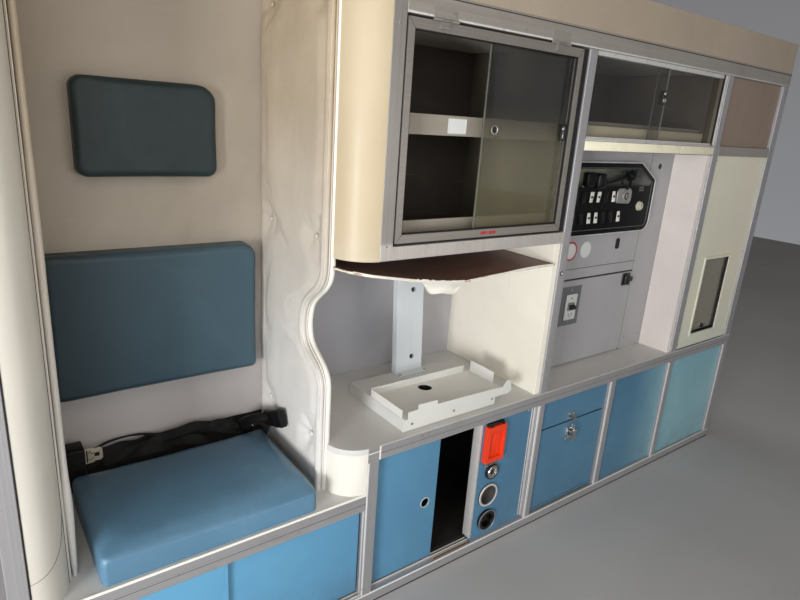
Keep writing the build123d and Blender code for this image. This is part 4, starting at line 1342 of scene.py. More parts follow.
# turned-up corner of the strap, standing on the heap
flap_pts = [(603, 468), (610, 503), (632, 507), (657, 519), (660, 496), (655, 466)]
s.loft([[(x, y + (x - 603) * 0.10, z) for x, z in flap_pts] for y in (449.0, 450.7)])
flap_pts = [(560, 470), (566, 505), (590, 512), (601, 500), (598, 472)]
s.loft([[(x, y - (x - 560) * 0.12, z) for x, z in flap_pts] for y in (462.0, 463.7)])
p6 = catmull([(300, 440, 470), (340, 436, 486), (385, 432, 492), (430, 436, 488), (478, 430, 494), (520, 434, 486), (560, 430, 474)], 8)
a6 = [58 + 30 * math.sin(i * 0.27) for i in range(len(p6))]
ribbon(p6, turn(a6), 30, 1.6, 0, s)
p4 = catmull([(540, 452, 500), (580, 446, 512), (618, 452, 508), (652, 446, 492), (690, 448, 476), (712, 446, 462)], 8)
a4 = [40 + 30 * math.sin(i * 0.24 + 1) for i in range(len(p4))]
ribbon(p4, turn(a4), 26, 1.6, 0, s)
o = s.emit("belt_straps", [BELT], slot="belt_fabric", sharp=40)
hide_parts("belt_webbing")

# buckle on its stalk: ribbed cover, press bar and strap
s = Shape()
place = Matrix.Translation((736, 318, 556)) @ Matrix.Rotation(math.radians(10), 4, "Z") @ Matrix.Rotation(math.radians(-19), 4, "X")
v, f = rbox(-10.5, 10.5, -40, 47, -26, 26, 6, 3)
s.add(v, f, 0, place)
for k in range(5):
    y = -46.5 + k * 8.4
    v, f = rbox(-11.5, 11.5, y, y + 4.6, -27, 27, 2.2, 2)
    s.add(v, f, 0, place)
v, f = rbox(-8.5, 8.5, 30, 49, -20, 20, 3, 2)
s.add(v, f, 0, place)
v, f = rbox(-11.2, -9.8, -6, 26, -17, 17, 1.2, 2)
s.add(v, f, 0, place)
strap = catmull([(737.5, 420, 416), (737.0, 408, 450), (736.5, 388, 490), (736.0, 366, 524), (736.0, 350, 544)], 8)
ribbon(strap, lambda i: (0, 0.86, 0.5), 40, 2.4, 1, s)
# padded sleeve of the stalk, from the heap to the cover
sleeve = catmull([(668, 430, 498), (684, 408, 518), (704, 380, 535), (724, 352, 548), (733, 340, 553)], 6)
s.sweep(sleeve, rrect(-15, 15, -9, 9, 6, 3), (0.1, 0.5, 0.85), 0)
# strap that lies in the gap beside the cushion, put there partly as a painted shadow for that dark gap
gap = catmull([(744, 406, 418.5), (743, 360, 416.6), (746, 290, 417.4), (743, 200, 416.8), (746, 150, 417.6), (745, 104, 416.8)], 8)
ribbon(gap, lambda i: (1.0, 0.0, 0.16), 30, 2.0, 1, s)
o = s.emit("buckle_cover", [DEEP_BLACK, BELT], slot="black_plastic")
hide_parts("belt_buckle")
# a loose loop of strap between the heap and the buckle
s = Shape()
p5 = catmull([(690, 452, 470), (704, 440, 486), (716, 424, 500), (724, 404, 508), (730, 384, 512)], 8)
ribbon(p5, lambda i: (0.2, 0.3, 1.0), 24, 1.6, 0, s)
s.tube(catmull([(668, 440, 492), (684, 430, 502), (698, 420, 500), (706, 412, 490)], 6), 1.1, 6, 1)
s.emit("belt_loop", [BELT, BRASSY], slot="belt_fabric")

# ======================================================================
# trims of the seat base and the counter
# ======================================================================
s = Shape()
s.sweep([(32.5 + 849 * k / 30, 1.2, 412.6) for k in range(31)], [(-3.4, -2.2), (-1.5, -3.0), (1.5, -3.0), (3.2, -2.0), (3.4, 1.0), (-3.4, 1.0)], (0, 0, 1))
s.emit("seat_edge_trim", [WHITE_TRIM], slot="cream_column")
s = Shape()
s.sweep([(922 + 2108 * k / 60, 0.6, 566.0) for k in range(61)], [(-2.4, -1.4), (-1.0, -2.0), (1.6, -2.0), (2.0, -1.0), (2.2, 1.0), (-2.4, 1.0)], (0, 0, 1))
s.emit("counter_edge_trim", [ALU_INNER], slot="inner_aluminium")
s = Shape()
for z0, z1, y in ((381.0, 382.4, -0.35), (540.0, 541.2, -0.35)):
    x0, x1 = ((32.5, 881.5) if z0 < 400 else (922.5, 3030.0))
    s.box(x0, x1, y, 0.4, z0, z1, 0, 0.3, 1)
s.emit("rail_grooves", [GROOVE])
# short bright end strip where the counter rail meets its post, and the post's cap line
s = Shape()
s.box(921.0, 926.0, -1.2, 0.5, 520.0, 566.0, 0, 0.8)
s.box(882.4, 921.6, -1.0, 0.5, 546.5, 549.5, 0, 0.8)
s.emit("rail_end_strip", [WHITE_TRIM], slot="cream_column")

# quarter-round covers: thin cover joints
s = Shape()


def on_left_round(a, z):
    """Point just proud of the left quarter-round, a in degrees from its front."""
    r = 77.35
    return (35 + r * math.sin(math.radians(a)), 77 - r * math.cos(math.radians(a)), z)


s.tube(catmull([on_left_round(-0.5 if i == 0 else a, z) for i, (a, z) in enumerate(
    ((0, 497), (12, 500), (26, 507), (40, 520), (54, 541), (68, 575), (78, 604)))], 8), 0.45, 6)
s.tube([on_left_round(86, 414 + 1484 * k / 60) for k in range(61)], 0.7, 6)
s.emit("column_seam", [GROOVE])
s = Shape()
s.box(31.2, 34.6, -1.4, 1.0, 384.0, 1897.5, 0, 0.9)
s.emit("post_gasket", [RUBBER], slot="black_plastic")
# rounded nosings of the lower extrusions, made bright as painted highlights, and a dark line at the floor as painted
# contact shadow
s = Shape()
for x0, w in ((882.0, 6.0), (1622.0, 12.0), (2057.0, 12.0), (2490.0, 12.0), (2981.0, 12.0)):
    s.box(x0 + 0.4, x0 + w, -1.1, 0.6, 43.0, 518.0, 0, 0.9, 3)
s.emit("post_highlight_nosings", [extrusion("alu_highlight_nosing_z", (244, 243, 242), "z", 0.28, 0.34)], slot="aluminium")
s = Shape()
s.box(-7.6, 3030.6, -1.1, 0.6, 35.0, 41.6, 0, 0.9, 3)
s.emit("base_highlight_nosing", [extrusion("alu_highlight_nosing_x", (244, 243, 242), "x", 0.28, 0.34)], slot="aluminium")
# painted contact shadow: dark line along the floor under the base rail
s = Shape()
s.box(-7.6, 3030.6, -0.9, 0.6, 0.3, 4.6, 0, 0.5)
s.emit("base_contact_shadow", [GROOVE], slot="black_plastic")

# ======================================================================
# overhead cabinet
# ======================================================================
# rubber lips of the lifting frame and the tracks of its sliders
s = Shape()
s.ring(rrect(947.0, 1572.0, 1189.0, 1694.0, 2, 2), rrect(950.5, 1567.5, 1193.0, 1690.0, 2, 2), 3.0, 7.5, 0, 0.6)
s.box(1551.0, 1571.0, 26.0, 29.5, 1190.0, 1693.0, 0, 1.0)
s.emit("lift_frame_gasket", [RUBBER, ALU_INNER], "lift_frame", slot="black_plastic")
s = Shape()
# mitre lines at the corners
for (xa, za), (xb, zb) in (((927, 1166), (947, 1189)), ((1592, 1166), (1572, 1189)), ((927, 1719), (947, 1694)), ((1592, 1719), (1572, 1694))):
    s.tube([(xa, -0.1, za), (xb, -0.1, zb)], 0.5, 6, 0)
s.emit("lift_frame_mitres", [GROOVE], "lift_frame")
s = Shape()
for x0, x1, z0, z1 in ((1236, 1258, 1173.5, 1182.5), (1261, 1266, 1174.5, 1181.5), (1269, 1298, 1173.5, 1182.5)):
    s.prism(rrect(x0, x1, z0, z1, 1.6, 3), -0.45, 0.2, 0, 0.15)
s.emit("lift_frame_mark", [RED], "lift_frame")
# black gap seal round the lifting frame
s = Shape()
s.box(922.4, 926.4, 4, 12, 1161.0, 1722.0, 0, 0.6)
s.box(923.0, 1594.0, 4, 12, 1159.6, 1164.6, 0, 0.6)
s.box(1592.8, 1621.0, 6, 14, 1160.0, 1722.0, 0, 0.8)
s.emit("lift_frame_seal", [RUBBER], slot="black_plastic")
# finger pull on the left slider, a cupped ring
s = Shape()
s.lathe((1257, 9.0, 1470), [(9.0, 0.2), (9.6, -1.4), (11.0, -2.4), (12.6, -2.2), (13.4, -1.0), (13.4, 0.2)], 28)
s.lathe((1257, 9.0, 1470), [(0.4, -0.2), (4.0, -0.3), (9.2, -0.9), (9.4, 0.2)], 24, 1)
s.emit("slider_pull", [STEEL, BLACK], "slider_left", slot="steel")
s = Shape()
s.box(1538.5, 1557.0, 2.2, 9.0, 1448.0, 1500.0, 1, 3.0)
s.lathe((1547.5, 2.6, 1486), [(0.4, -1.6), (5.0, -1.4), (6.6, -0.4), (6.9, 0.8)], 20)
s.box(1545.0, 1550.0, 1.0, 3.2, 1456.0, 1479.0, 0, 0.9)
o = s.emit("slider_lock", [CHROME, BLACK], "slider_left", slot="chrome")
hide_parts("slider_latch")
# blank label holders on the shelf lip
s = Shape()
for x0, x1 in ((1128, 1196), (955, 985)):
    s.ring(rrect(x0, x1, 1452, 1493, 2, 2), rrect(x0 + 2.4, x1 - 2.4, 1454.4, 1490.6, 1, 2), 58.6, 60.2, 0, 0.4)
    s.prism(rrect(x0 + 2, x1 - 2, 1454, 1491, 1, 2), 59.5, 60.2, 1)
s.emit("label_holders", [OUTLET_PALE, PALE], slot="white_board")
# thin line under the header, pull seam at the top
s = Shape()
s.box(922.5, 3030.5, -0.4, 0.6, 1771.5, 1774.5, 0, 0.4, 1)
s.box(922.5, 3030.5, -0.9, 0.4, 1726.0, 1731.0, 1, 0.8)
s.emit("header_lines", [GROOVE, ALU_INNER])
# jambs and pinch strips of the second overhead bay
s = Shape()
for x0, x1, m in ((2462.5, 2466.5, 1), (2470.0, 2475.5, 0), (2479.0, 2485.0, 0)):
    s.box(x0, x1, 1.5, 8.0, 1460.0, 1724.0, m, 0.8)
s.box(1660.5, 1663.5, 3.0, 9.0, 1460.0, 1724.0, 1, 0.6)
s.box(1661.0, 2489.5, -0.8, 6.0, 1455.0, 1459.6, 0, 0.8)
s.emit("bay_jambs", [ALU_INNER, RUBBER], slot="inner_aluminium")
s = Shape()
s.box(1662.0, 2469.0, 46.0, 58.0, 1460.5, 1502.0, 0, 1.2)
s.emit("bay_inner_lip", [coating("inner_lip_board", (232, 224, 194), 0.5, 0.05, 0.5, 0.4, (380.0, 0.10), (150, 140, 118))], slot="white_board")
s = Shape()
s.box(1661.0, 2489.0, -1.0, 3.0, 1424.0, 1453.0, 0, 0.9)
s.emit("bay_sill_cover", [SILL_BRIGHT], slot="aluminium")
for name, body, x, y0, y1, z0, z1 in (("slider_left_edge", "slider_left", 1212.0, 8.8, 13.2, 1183.5, 1699.5),
                                      ("slider_right_edge", "slider_right", 1226.0, 19.8, 24.2, 1183.5, 1699.5),
                                      ("bay_left_edge", "bay_slider_left", 2087.6, 8.8, 13.2, 1461.5, 1718.5),
                                      ("bay_right_edge", "bay_slider_right", 2036.0, 19.8, 24.2, 1461.5, 1718.5)):
    s = Shape()
    s.box(x, x + 2.2, y0, y1, z0, z1, 0, 0.6)
    s.emit(name, [coating(name + "_polish", (118, 118, 108), 0.25, 0.06, 0.5, 0.4, (400.0, 0.1), (60, 60, 56))], body, slot="tinted_acrylic")
s = Shape()
s.box(2065.0, 2085.0, 3.0, 9.0, 1590.0, 1638.0, 1, 3.0)
s.lathe((2075, 3.0, 1628), [(0.4, -1.6), (5.2, -1.4), (7.0, -0.4), (7.4, 0.8)], 20)
s.ring(circle(2075, 1604, 8.5), circle(2075, 1604, 4.6), 1.2, 4.0, 0, 0.6)
o = s.emit("bay_slider_lock", [CHROME, BLACK], "bay_slider_left", slot="chrome")
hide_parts("bay_slider_latch")

# ======================================================================
# liner panel: split front edge strip and a torn corner
# ======================================================================
SAG_PTS = [(806, 1095.3), (850, 1088.6), (890, 1081.5), (945, 1071.2), (1000, 1061.0), (1050, 1053.0), (1100, 1046.5), (1150, 1041.3), (1200, 1038.6),
           (1260, 1038.6), (1330, 1043.0), (1400, 1048.6), (1470, 1052.2), (1530, 1053.6), (1590, 1053.0)]
s = Shape()
rng = 0
front = []
for i, (x, z) in enumerate(SAG_PTS):
    y = 0.0
    if x < 890:
        y = 100 - math.sqrt(max(0.0, 100.0 ** 2 - (890 - x) ** 2))
    front.append((x, y, z))
path = catmull(front, 6)
sec = [(-5.6, -1.1), (0.4, -1.3), (1.6, -0.6), (1.2, 0.6), (-5.6, 0.6)]
s.sweep(path[2:48], sec, (0, 0, 1))
s.sweep(path[50:], [(a * 0.92, b) for a, b in sec], (0, 0, 1))
s.emit("liner_edge_strip", [CREAM], slot="cream_column")
s = Shape()
# peeled end of the strip, and splinters of the board
torn = [(1016, -1.4, 1057), (1032, -2.5, 1060), (1052, -4.0, 1057), (1046, -4.4, 1053.5), (1030, -3.2, 1054), (1018, -1.6, 1052)]
s.loft([[(x, y - 0.5, z) for x, y, z in torn], [(x, y + 0.5, z) for x, y, z in torn]])
for x, z, l, h in ((1062, 1052, 15, 3.0), (1096, 1047.5, 20, 2.4), (1142, 1043, 14, 2.2), (1010, 1060.5, 9, 2.6)):
    s.add([(x, -0.6, z), (x + l, -0.8, z - 1.4), (x + l * 0.8, -3.2, z + h * 0.4), (x + l * 0.2, -2.2, z + h),
           (x, 1.0, z - 0.8), (x + l, 1.0, z - 2.2)], [[0, 1, 2, 3], [3, 2, 5, 4], [0, 4, 5, 1], [0, 3, 4], [1, 5, 2]])
s.emit("liner_splinters", [CREAM], slot="cream_column")

# the face sheet that has peeled off below the liner, folded on itself
s = Shape()
rows_, cols_ = 9, 34
for layer, (dy, cut) in enumerate(((0.0, 1.0), (7.0, 0.72))):
    front_, back_ = [], []
    for i in range(cols_ + 1):
        x = 985 + (1198 - 985) * i / cols_
        top = 1055.5 - 0.0 * x
        for (xa, za), (xb, zb) in zip(SAG_PTS, SAG_PTS[1:]):
            if xa <= x <= xb:
                top = za + (zb - za) * (x - xa) / (xb - xa) - 6.6
        low = 4.0 + 33.0 / (1 + math.exp(-(x - 1062) / 7.0)) - 12.0 / (1 + math.exp(-(x - 1186) / 4.0)) + 2.2 * math.sin(x / 13.0)
        low = max(low * cut, 2.5)
        for j in range(rows_ + 1):
            v = j / rows_
            y = 9.0 + dy + 15.0 * math.sin(v * 2.4) + 4.0 * math.sin(x / 21.0 + v) * v
            front_.append((x, y, top - low * v + 3.0 * math.sin(v * 3.1) * (layer - 0.4)))
            back_.append((x, y + 1.3, top - low * v + 3.0 * math.sin(v * 3.1) * (layer - 0.4)))
    k = rows_ + 1
    quads_ = [[i * k + j, i * k + j + 1, (i + 1) * k + j + 1, (i + 1) * k + j] for i in range(cols_) for j in range(rows_)]
    m = len(front_)
    rim_ = [i * k for i in range(cols_ + 1)] + [cols_ * k + j for j in range(1, k)] + [i * k + k - 1 for i in range(cols_ - 1, -1, -1)] + [j for j in range(k - 2, 0, -1)]
    side_ = [[rim_[q], rim_[(q + 1) % len(rim_)], m + rim_[(q + 1) % len(rim_)], m + rim_[q]] for q in range(len(rim_))]
    s.add(front_ + back_, quads_ + [[a + m for a in f][::-1] for f in quads_] + side_)
s.emit("liner_peeled_face", [WHITE_TRIM], slot="cream_column", sharp=50)

# ======================================================================
# control panel
# ======================================================================
CP = [(1674, 1105), (2317, 1105), (2317, 1312), (2205, 1378), (1786, 1378), (1674, 1312)]
CPR = [44, 44, 14, 18, 18, 14]
out = round_poly(CP, CPR, 7)
s = Shape()
s.ring(grow(out, 1.2), grow(out, -3.2), 121.6, 146.0, 0, 1.4)
s.emit("panel_rim", [ALU_INNER], slot="inner_aluminium")
s = Shape()
s.ring(grow(out, -20.0), grow(out, -21.8), 122.9, 124.4, 0, 0.4)
s.emit("panel_inner_line", [OUTLET], slot="control_black")
win = round_poly([(1696, 1288), (2274, 1288), (2290, 1300), (2196, 1354), (1792, 1354), (1696, 1306)], [5, 5, 5, 10, 10, 5], 4)
s = Shape()
s.prism(win, 122.6, 124.4, 0, 0.6)
s.emit("panel_window", [WINDOW], slot="control_black")

s = Shape()


def rocker(cx, cz, w, h, mat, lean=1):
    """Rocker switch: bezel and a paddle bent in the middle. mat is the paddle's material."""
    s.ring(rrect(cx - w / 2, cx + w / 2, cz - h / 2, cz + h / 2, 3, 3), rrect(cx - w / 2 + 3, cx + w / 2 - 3, cz - h / 2 + 3, cz + h / 2 - 3, 1.5, 3),
           120.6, 124.2, 0, 0.8)
    a, b = w / 2 - 3.4, h / 2 - 3.4
    hi, lo = (117.2, 121.6) if lean > 0 else (121.6, 117.2)
    prof = [(-b, lo), (-b * 0.4, (lo + 119.8) / 2 - 0.2), (0, 120.0), (b * 0.4, (hi + 119.8) / 2 - 0.2), (b, hi)]
    rings = [[(cx - a, y, cz + z), (cx - a + 1, y - 0.5, cz + z), (cx + a - 1, y - 0.5, cz + z), (cx + a, y, cz + z), (cx + a, 124.2, cz + z), (cx - a, 124.2, cz + z)]
             for z, y in prof]
    s.loft(rings, mat)
    if mat == 1:
        s.box(cx - a * 0.62, cx + a * 0.62, 118.6, 121.0, cz - 3.5, cz + 4.5, 0, 0.5, 1)


for x, z, m, lean in ((1908, 1250, 1, 1), (1951, 1250, 1, 1), (1996, 1250, 2, 1), (2044, 1250, 1, -1),
                      (1908, 1172, 1, -1), (1951, 1172, 1, -1), (1996, 1172, 2, -1), (2044, 1172, 2, -1), (2094, 1172, 1, -1),
                      (1862, 1250, 2, 1), (1862, 1172, 2, -1), (1816, 1250, 2, 1), (1816, 1172, 2, -1)):
    rocker(x, z, 25 if m == 1 else 24, 46, m, lean)
s.emit("panel_switches", [DEEP_BLACK, ROCKER, DEEP_BLACK], slot="control_black")

s = Shape()
oval_out = round_poly([(2066, 1224), (2150, 1220), (2160, 1232), (2160, 1268), (2148, 1280), (2078, 1280), (2066, 1268)], [10, 12, 16, 16, 14, 18, 10], 5)
s.prism(oval_out, 119.4, 124.3, 0, 2.0)
s.lathe((2120, 119.4, 1250), [(14.0, -4.2), (17.5, -5.2), (21.0, -3.4), (22.0, 0.4)], 28, 0, cap0=False)
s.lathe((2120, 119.4, 1250), [(0.4, -3.2), (6.0, -3.4), (8.0, -1.6), (14.6, -1.2), (14.8, 0.4)], 28, 1)
s.box(2117.6, 2122.4, 112.6, 118.6, 1241, 1259, 0, 1.4)
s.emit("panel_selector", [BEZEL, BLACK], slot="outlet_grey")
s = Shape()
knob_ring = [(17.8, 0.2), (17.6, -1.6), (16.0, -2.4)]
s.lathe((2228, 124.0, 1208), [(0.4, -13.0), (11.0, -13.0), (14.4, -11.6), (15.6, -8.0), (16.6, -2.4), (18.6, -1.6), (19.0, 0.2)], 30, 0)
for k in range(16):
    a = 2 * math.pi * k / 16
    mv = Matrix.Translation((2228, 0, 1208)) @ Matrix.Rotation(a, 4, "Y") @ Matrix.Translation((15.4, 0, 0))
    v, f = rbox(-0.9, 1.0, 113.0, 121.4, -1.1, 1.1, 0.5, 1)
    s.add(v, f, 0, mv)
v, f = rbox(2227.0, 2229.0, 110.4, 111.6, 1208, 1220, 0.4, 1)
s.add(v, f, 1)
s.emit("panel_knob", [KNOB, BLACK], slot="white_powder")
s = Shape()
for k in range(4):
    s.box(2212, 2244, 123.4, 124.6, 1268 + k * 7.0, 1270.2 + k * 7.0, 0, 0.5, 1)
s.emit("panel_louvres", [BEZEL], slot="control_black")
# hooded reading lamp on a jointed arm, fixed to the panel
s = Shape()
s.box(1840, 1894, 96, 124, 1292, 1343, 0, 9, 3)
for k in range(5):
    s.box(1846 + k * 9, 1850 + k * 9, 94.4, 97, 1300, 1337, 0, 1.2)
s.box(1900, 1944, 90, 122, 1284, 1340, 0, 10, 3)
s.box(1888, 1906, 100, 118, 1304, 1330, 0, 4, 2)
s.tube(catmull([(1936, 106, 1312), (1966, 104, 1306), (2006, 102, 1311), (2051, 101, 1320), (2088, 101, 1326)], 8), 5.6, 12)
s.lathe((2104, 101, 1328), [(3.0, -16), (12.0, -15), (18.0, -8), (20.0, 0), (18.0, 9), (10.0, 14), (3.0, 15)], 20, 0, axis="x")
s.box(2106, 2136, 92, 112, 1330, 1352, 0, 5, 2)
s.tube(catmull([(2110, 104, 1318), (2116, 106, 1302), (2118, 110, 1288), (2114, 116, 1276)], 6), 4.4, 10)
for x in (1846, 1926):
    s.lathe((x + 4, 124.2, 1290), [(0.4, -2.4), (3.0, -2.2), (4.0, 0.1)], 14, 1)
s.emit("panel_lamp", [DEEP_BLACK, STEEL], slot="black_plastic")

# ======================================================================
# grey service panels of the second bay
# ======================================================================
s = Shape()


def screw(x, y, z, r=4.0, mat=0, dark=1):
    """Pan head with a cross slot, on a face that looks towards the aisle."""
    s.lathe((x, y, z), [(r * 0.10, -r * 0.42), (r * 0.55, -r * 0.40), (r * 0.86, -r * 0.26), (r, 0.0), (r, 0.25)], 16, mat)
    s.box(x - r * 0.5, x + r * 0.5, y - r * 0.50, y - r * 0.38, z - r * 0.10, z + r * 0.10, dark, 0)
    s.box(x - r * 0.10, x + r * 0.10, y - r * 0.50, y - r * 0.38, z - r * 0.5, z + r * 0.5, dark, 0)


for x, z, r in ((1965, 951, 4.2), (2280, 951, 4.2), (1700, 951, 4.2), (2351, 1161, 4.0), (2391, 1161, 4.4), (2418, 998, 3.6),
                (2330, 620, 4.0), (2330, 1380, 4.0), (2440, 620, 4.0), (2200, 1400, 4.0), (1720, 1400, 4.0), (2290, 1090, 3.4), (1660, 1090, 3.4)):
    screw(x, 146.0, z, r)
for x, z in ((1054, 591), (1225, 592), (1397, 593)):
    screw(x, 24.0, z, 4.6)
for x, z in ((2510, 600), (2510, 1390), (3006, 640), (3006, 1300), (901, 1160), (901, 1700), (12, 470), (12, 1500), (12, 1840)):
    screw(x, 0.0, z, 3.4)
for x, z in ((1369, 505), (1590, 505), (1369, 60), (1590, 60)):
    screw(x, 15.0, z, 3.2)
for x, z in ((2551, 1400), (2961, 1400), (2551, 590), (2961, 590), (2551, 990), (2961, 990)):
    screw(x, 9.0, z, 3.4)
s.emit("screws", [STEEL, BLACK], slot="steel")

s = Shape()
# bumper stud on the post, dark hole with its lock, and slot latch
s.lathe((1640, 0.0, 1015), [(0.4, -4.2), (3.4, -4.0), (4.4, -2.6), (4.6, -0.4)], 18, 1)
s.lathe((1640, 0.0, 1015), [(4.4, -1.0), (5.4, -2.2), (7.4, -2.0), (8.4, 0.2)], 22, 0, cap0=False)
s.lathe((2368, 146.0, 1363), [(5.2, 0.2), (6.0, -2.2), (8.4, -2.6), (10.0, -1.0), (10.2, 0.2)], 22, 0)
s.prism(rrect(2362.5, 2373.5, 1352, 1374, 5, 5), 142.8, 146.2, 0, 0.8)
s.ring(rrect(2148, 2173, 1032, 1076, 9, 5), rrect(2152, 2169, 1036, 1072, 7, 5), 143.4, 146.4, 0, 0.8)
s.prism(rrect(2152, 2169, 1036, 1072, 7, 5), 145.2, 146.4, 0, 0.3)
s.box(2157.5, 2163.5, 142.6, 146, 1042, 1066, 0, 1.6)
s.emit("panel_fittings", [BLACK, OUTLET_PALE], slot="black_plastic")

# dark joints between the grey sheets
s = Shape()
s.box(2297.6, 2305.7, 147.6, 149.9, 562.0, 926.0, 0, 0.2, 1)
s.box(2302.3, 2305.7, 147.6, 149.9, 926.0, 1423.5, 0, 0.2, 1)
s.box(1661.0, 2301.7, 147.6, 149.9, 925.6, 930.6, 0, 0.2, 1)
s.box(1661.0, 2301.7, 147.6, 149.9, 969.7, 971.3, 0, 0.2, 1)
s.emit("panel_joints", [GROOVE])
# two blank round stickers
s = Shape()
s.ring(circle(1866, 1043, 37.5, 40), circle(1866, 1043, 30.5, 40), 145.5, 146.1, 0, 0.1)
s.prism(circle(1866, 1043, 30.5, 40), 145.6, 146.1, 1, 0.1)
s.ring(circle(1957, 1043, 32.5, 40), circle(1957, 1043, 27.5, 40), 145.5, 146.1, 2, 0.1)
s.prism(circle(1957, 1043, 27.5, 40), 145.6, 146.1, 1, 0.1)
s.emit("round_stickers", [RED, PALE, OUTLET_PALE], slot="grey_panel")

# outlet: insert, toggle, sockets and screws
s = Shape()
s.prism(rrect(1869, 1935, 768, 872, 3, 3), 133.2, 139.2, 1, 1.2)
s.prism(rrect(1880, 1924, 776, 802, 5, 4), 132.6, 133.6, 1, 0.4)
for x in (1893, 1911):
    s.box(x - 1.6, x + 1.6, 132.2, 133.0, 784, 796, 2, 0.3, 1)
s.lathe((1902, 132.6, 780.5), [(0.4, -0.3), (2.4, -0.3), (2.5, 0.2)], 12, 2)
s.ring(rrect(1882, 1922, 806, 838, 4, 4), rrect(1888, 1916, 811, 833, 3, 4), 131.8, 133.4, 0, 0.5)
s.box(1889, 1915, 122.5, 133.0, 812, 832, 2, 4, 3)
s.lathe((1912, 124.5, 820), [(0.4, -6.5), (6.5, -6.0), (8.6, -3.0), (8.8, 2.0), (7.0, 6.0)], 18, 2)
s.lathe((1902, 133.2, 856), [(0.4, -1.2), (2.8, -1.1), (3.6, 0.1)], 14, 2)
for z in (758, 887):
    s.lathe((1902, 139.0, z), [(0.4, -1.2), (2.6, -1.1), (3.4, 0.1)], 14, 3)
s.emit("outlet_parts", [OUTLET, OUTLET_PALE, BLACK, STEEL], "access_door", slot="outlet_grey")

# black compression latch of the access door
s = Shape()
s.box(2230, 2284, 136.5, 142.0, 868.5, 921.5, 0, 3, 2)
s.box(2236, 2272, 124, 138, 876, 915, 0, 6, 3)
s.lathe((2252, 124.5, 900), [(0.4, -6.2), (8.0, -6.0), (11.0, -4.0), (12.0, 0.0), (12.0, 4.0)], 22, 0)
s.box(2268, 2289.5, 126, 137, 886, 906, 0, 4, 3)
s.box(2247, 2257, 118.4, 124, 874, 892, 0, 2.2, 2)
s.lathe((2276, 126.2, 878), [(0.4, -1.4), (3.2, -1.2), (4.0, 0.2)], 14, 1)
o = s.emit("access_knob", [BLACK, STEEL], "access_door", slot="black_plastic")
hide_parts("access_latch")

# ======================================================================
# lower bays
# ======================================================================
# light return of the socket panel and the bright jamb beside the next post
s = Shape()
s.box(1349.6, 1352.2, 14.0, 45.5, 55.0, 518.5, 0, 0.6)
s.box(1350.0, 1361.0, 13.4, 15.2, 52.0, 518.5, 0, 0.6)
s.emit("socket_panel_return", [ALU_INNER], slot="inner_aluminium")
s = Shape()
for x0, x1, y0, z0, z1 in ((1605.2, 1609.0, 12.6, 54, 518.5), (1613.0, 1621.4, 9.0, 54, 518.5), (878.2, 881.6, 6.0, 44, 356)):
    s.box(x0, x1, y0, y0 + 6, z0, z1, 0, 0.8)
s.box(1609.4, 1612.6, 13.8, 16.0, 54, 518.0, 1, 0.3)
s.emit("bright_jambs", [ALU_INNER, RUBBER], slot="inner_aluminium")

# finger hole rim of the sliding door
s = Shape()
s.lathe((1136, 24.0, 278), [(15.6, 0.4), (15.8, -0.9), (17.4, -1.3), (19.0, -0.6), (19.2, 0.3)], 30, 0, cap0=False, cap1=False)
s.emit("finger_ring", [ALU_INNER], "sliding_door", slot="inner_aluminium")

# worn double track in the open part of the main bay
s = Shape()
for y0, m in ((6.0, 1), (13.0, 0), (24.6, 1)):
    s.box(1182, 1351, y0, y0 + 3.0, 42.0, 46.0 if m else 44.5, m, 0.6)
s.emit("track_liners", [BRASSY, coating("track_brown", (104, 78, 54), 0.5, 0.15, 0.9, 0.6, (300.0, 0.3), (40, 34, 30))], slot="inner_aluminium")

# orange handle: grip panel, end bosses, black clip above and wire bail below
s = Shape()
s.prism(rrect(1384, 1448, 378, 472, 4, 3), 2.6, 3.4, 0, 0.3)
for x in (1401, 1416, 1431):
    s.box(x - 2.0, x + 2.0, 0.6, 3.2, 386, 464, 0, 1.0)
s.ring(rrect(1379, 1453, 373, 477, 5, 3), rrect(1384, 1448, 378, 472, 3, 3), -6.2, 3.0, 0, 1.0)
s.box(1377, 1383, -6.5, -4.2, 486, 492, 0, 1)
s.box(1449, 1455, -6.5, -4.2, 486, 492, 0, 1)
s.emit("handle_grip", [ORANGE], slot="orange_plastic")
s = Shape()
s.box(1378, 1456, 3.0, 15.0, 499, 508, 0, 2.5)
s.box(1386, 1394, -3.0, 4.0, 497, 506, 0, 1.5)
s.box(1441, 1449, -3.0, 4.0, 497, 506, 0, 1.5)
s.emit("handle_clip", [BLACK], slot="black_plastic")
s = Shape()
s.tube(catmull([(1384, 8, 359), (1384, 4, 349), (1390, 2, 345), (1416, 1.4, 347), (1442, 2, 345), (1448, 4, 349), (1448, 8, 359)], 5), 1.7, 8)
s.tube(catmull([(1388, 10, 351), (1386, 6, 341), (1389, 4, 336), (1394, 7, 336)], 5), 1.3, 8)
s.emit("handle_bail", [CHROME], slot="chrome")

# sockets: lips, contacts and liners
s = Shape()
s.lathe((1427, 5.0, 308), [(14.0, 0.6), (15.0, -1.8), (18.0, -2.6), (21.5, -2.0), (23.0, 0.4)], 30, 0, cap0=False)
s.lathe((1427, 20.0, 308), [(0.4, 0.0), (4.5, 0.0), (5.0, 1.0), (10.8, 4.0), (10.8, 12.0)], 24, 1)
s.lathe((1427, 5.0, 308), [(25.0, 0.3), (26.0, -1.6), (28.5, -1.2), (29.5, 0.5), (29.5, 9.6)], 30, 2, cap0=False)
s.emit("small_socket_parts", [CHROME, BLACK, BLACK], slot="chrome")
s = Shape()
s.lathe((1424, 9.0, 211), [(36.9, 30.0), (36.9, 2.0), (37.6, -0.8), (40.0, -2.0), (43.5, -1.6), (45.6, 0.4)], 44, 0, cap0=False, cap1=False)
s.lathe((1424, 38.6, 211), [(36.8, 0.0), (20.0, 1.4), (0.4, 2.0)], 40, 1, cap0=False)
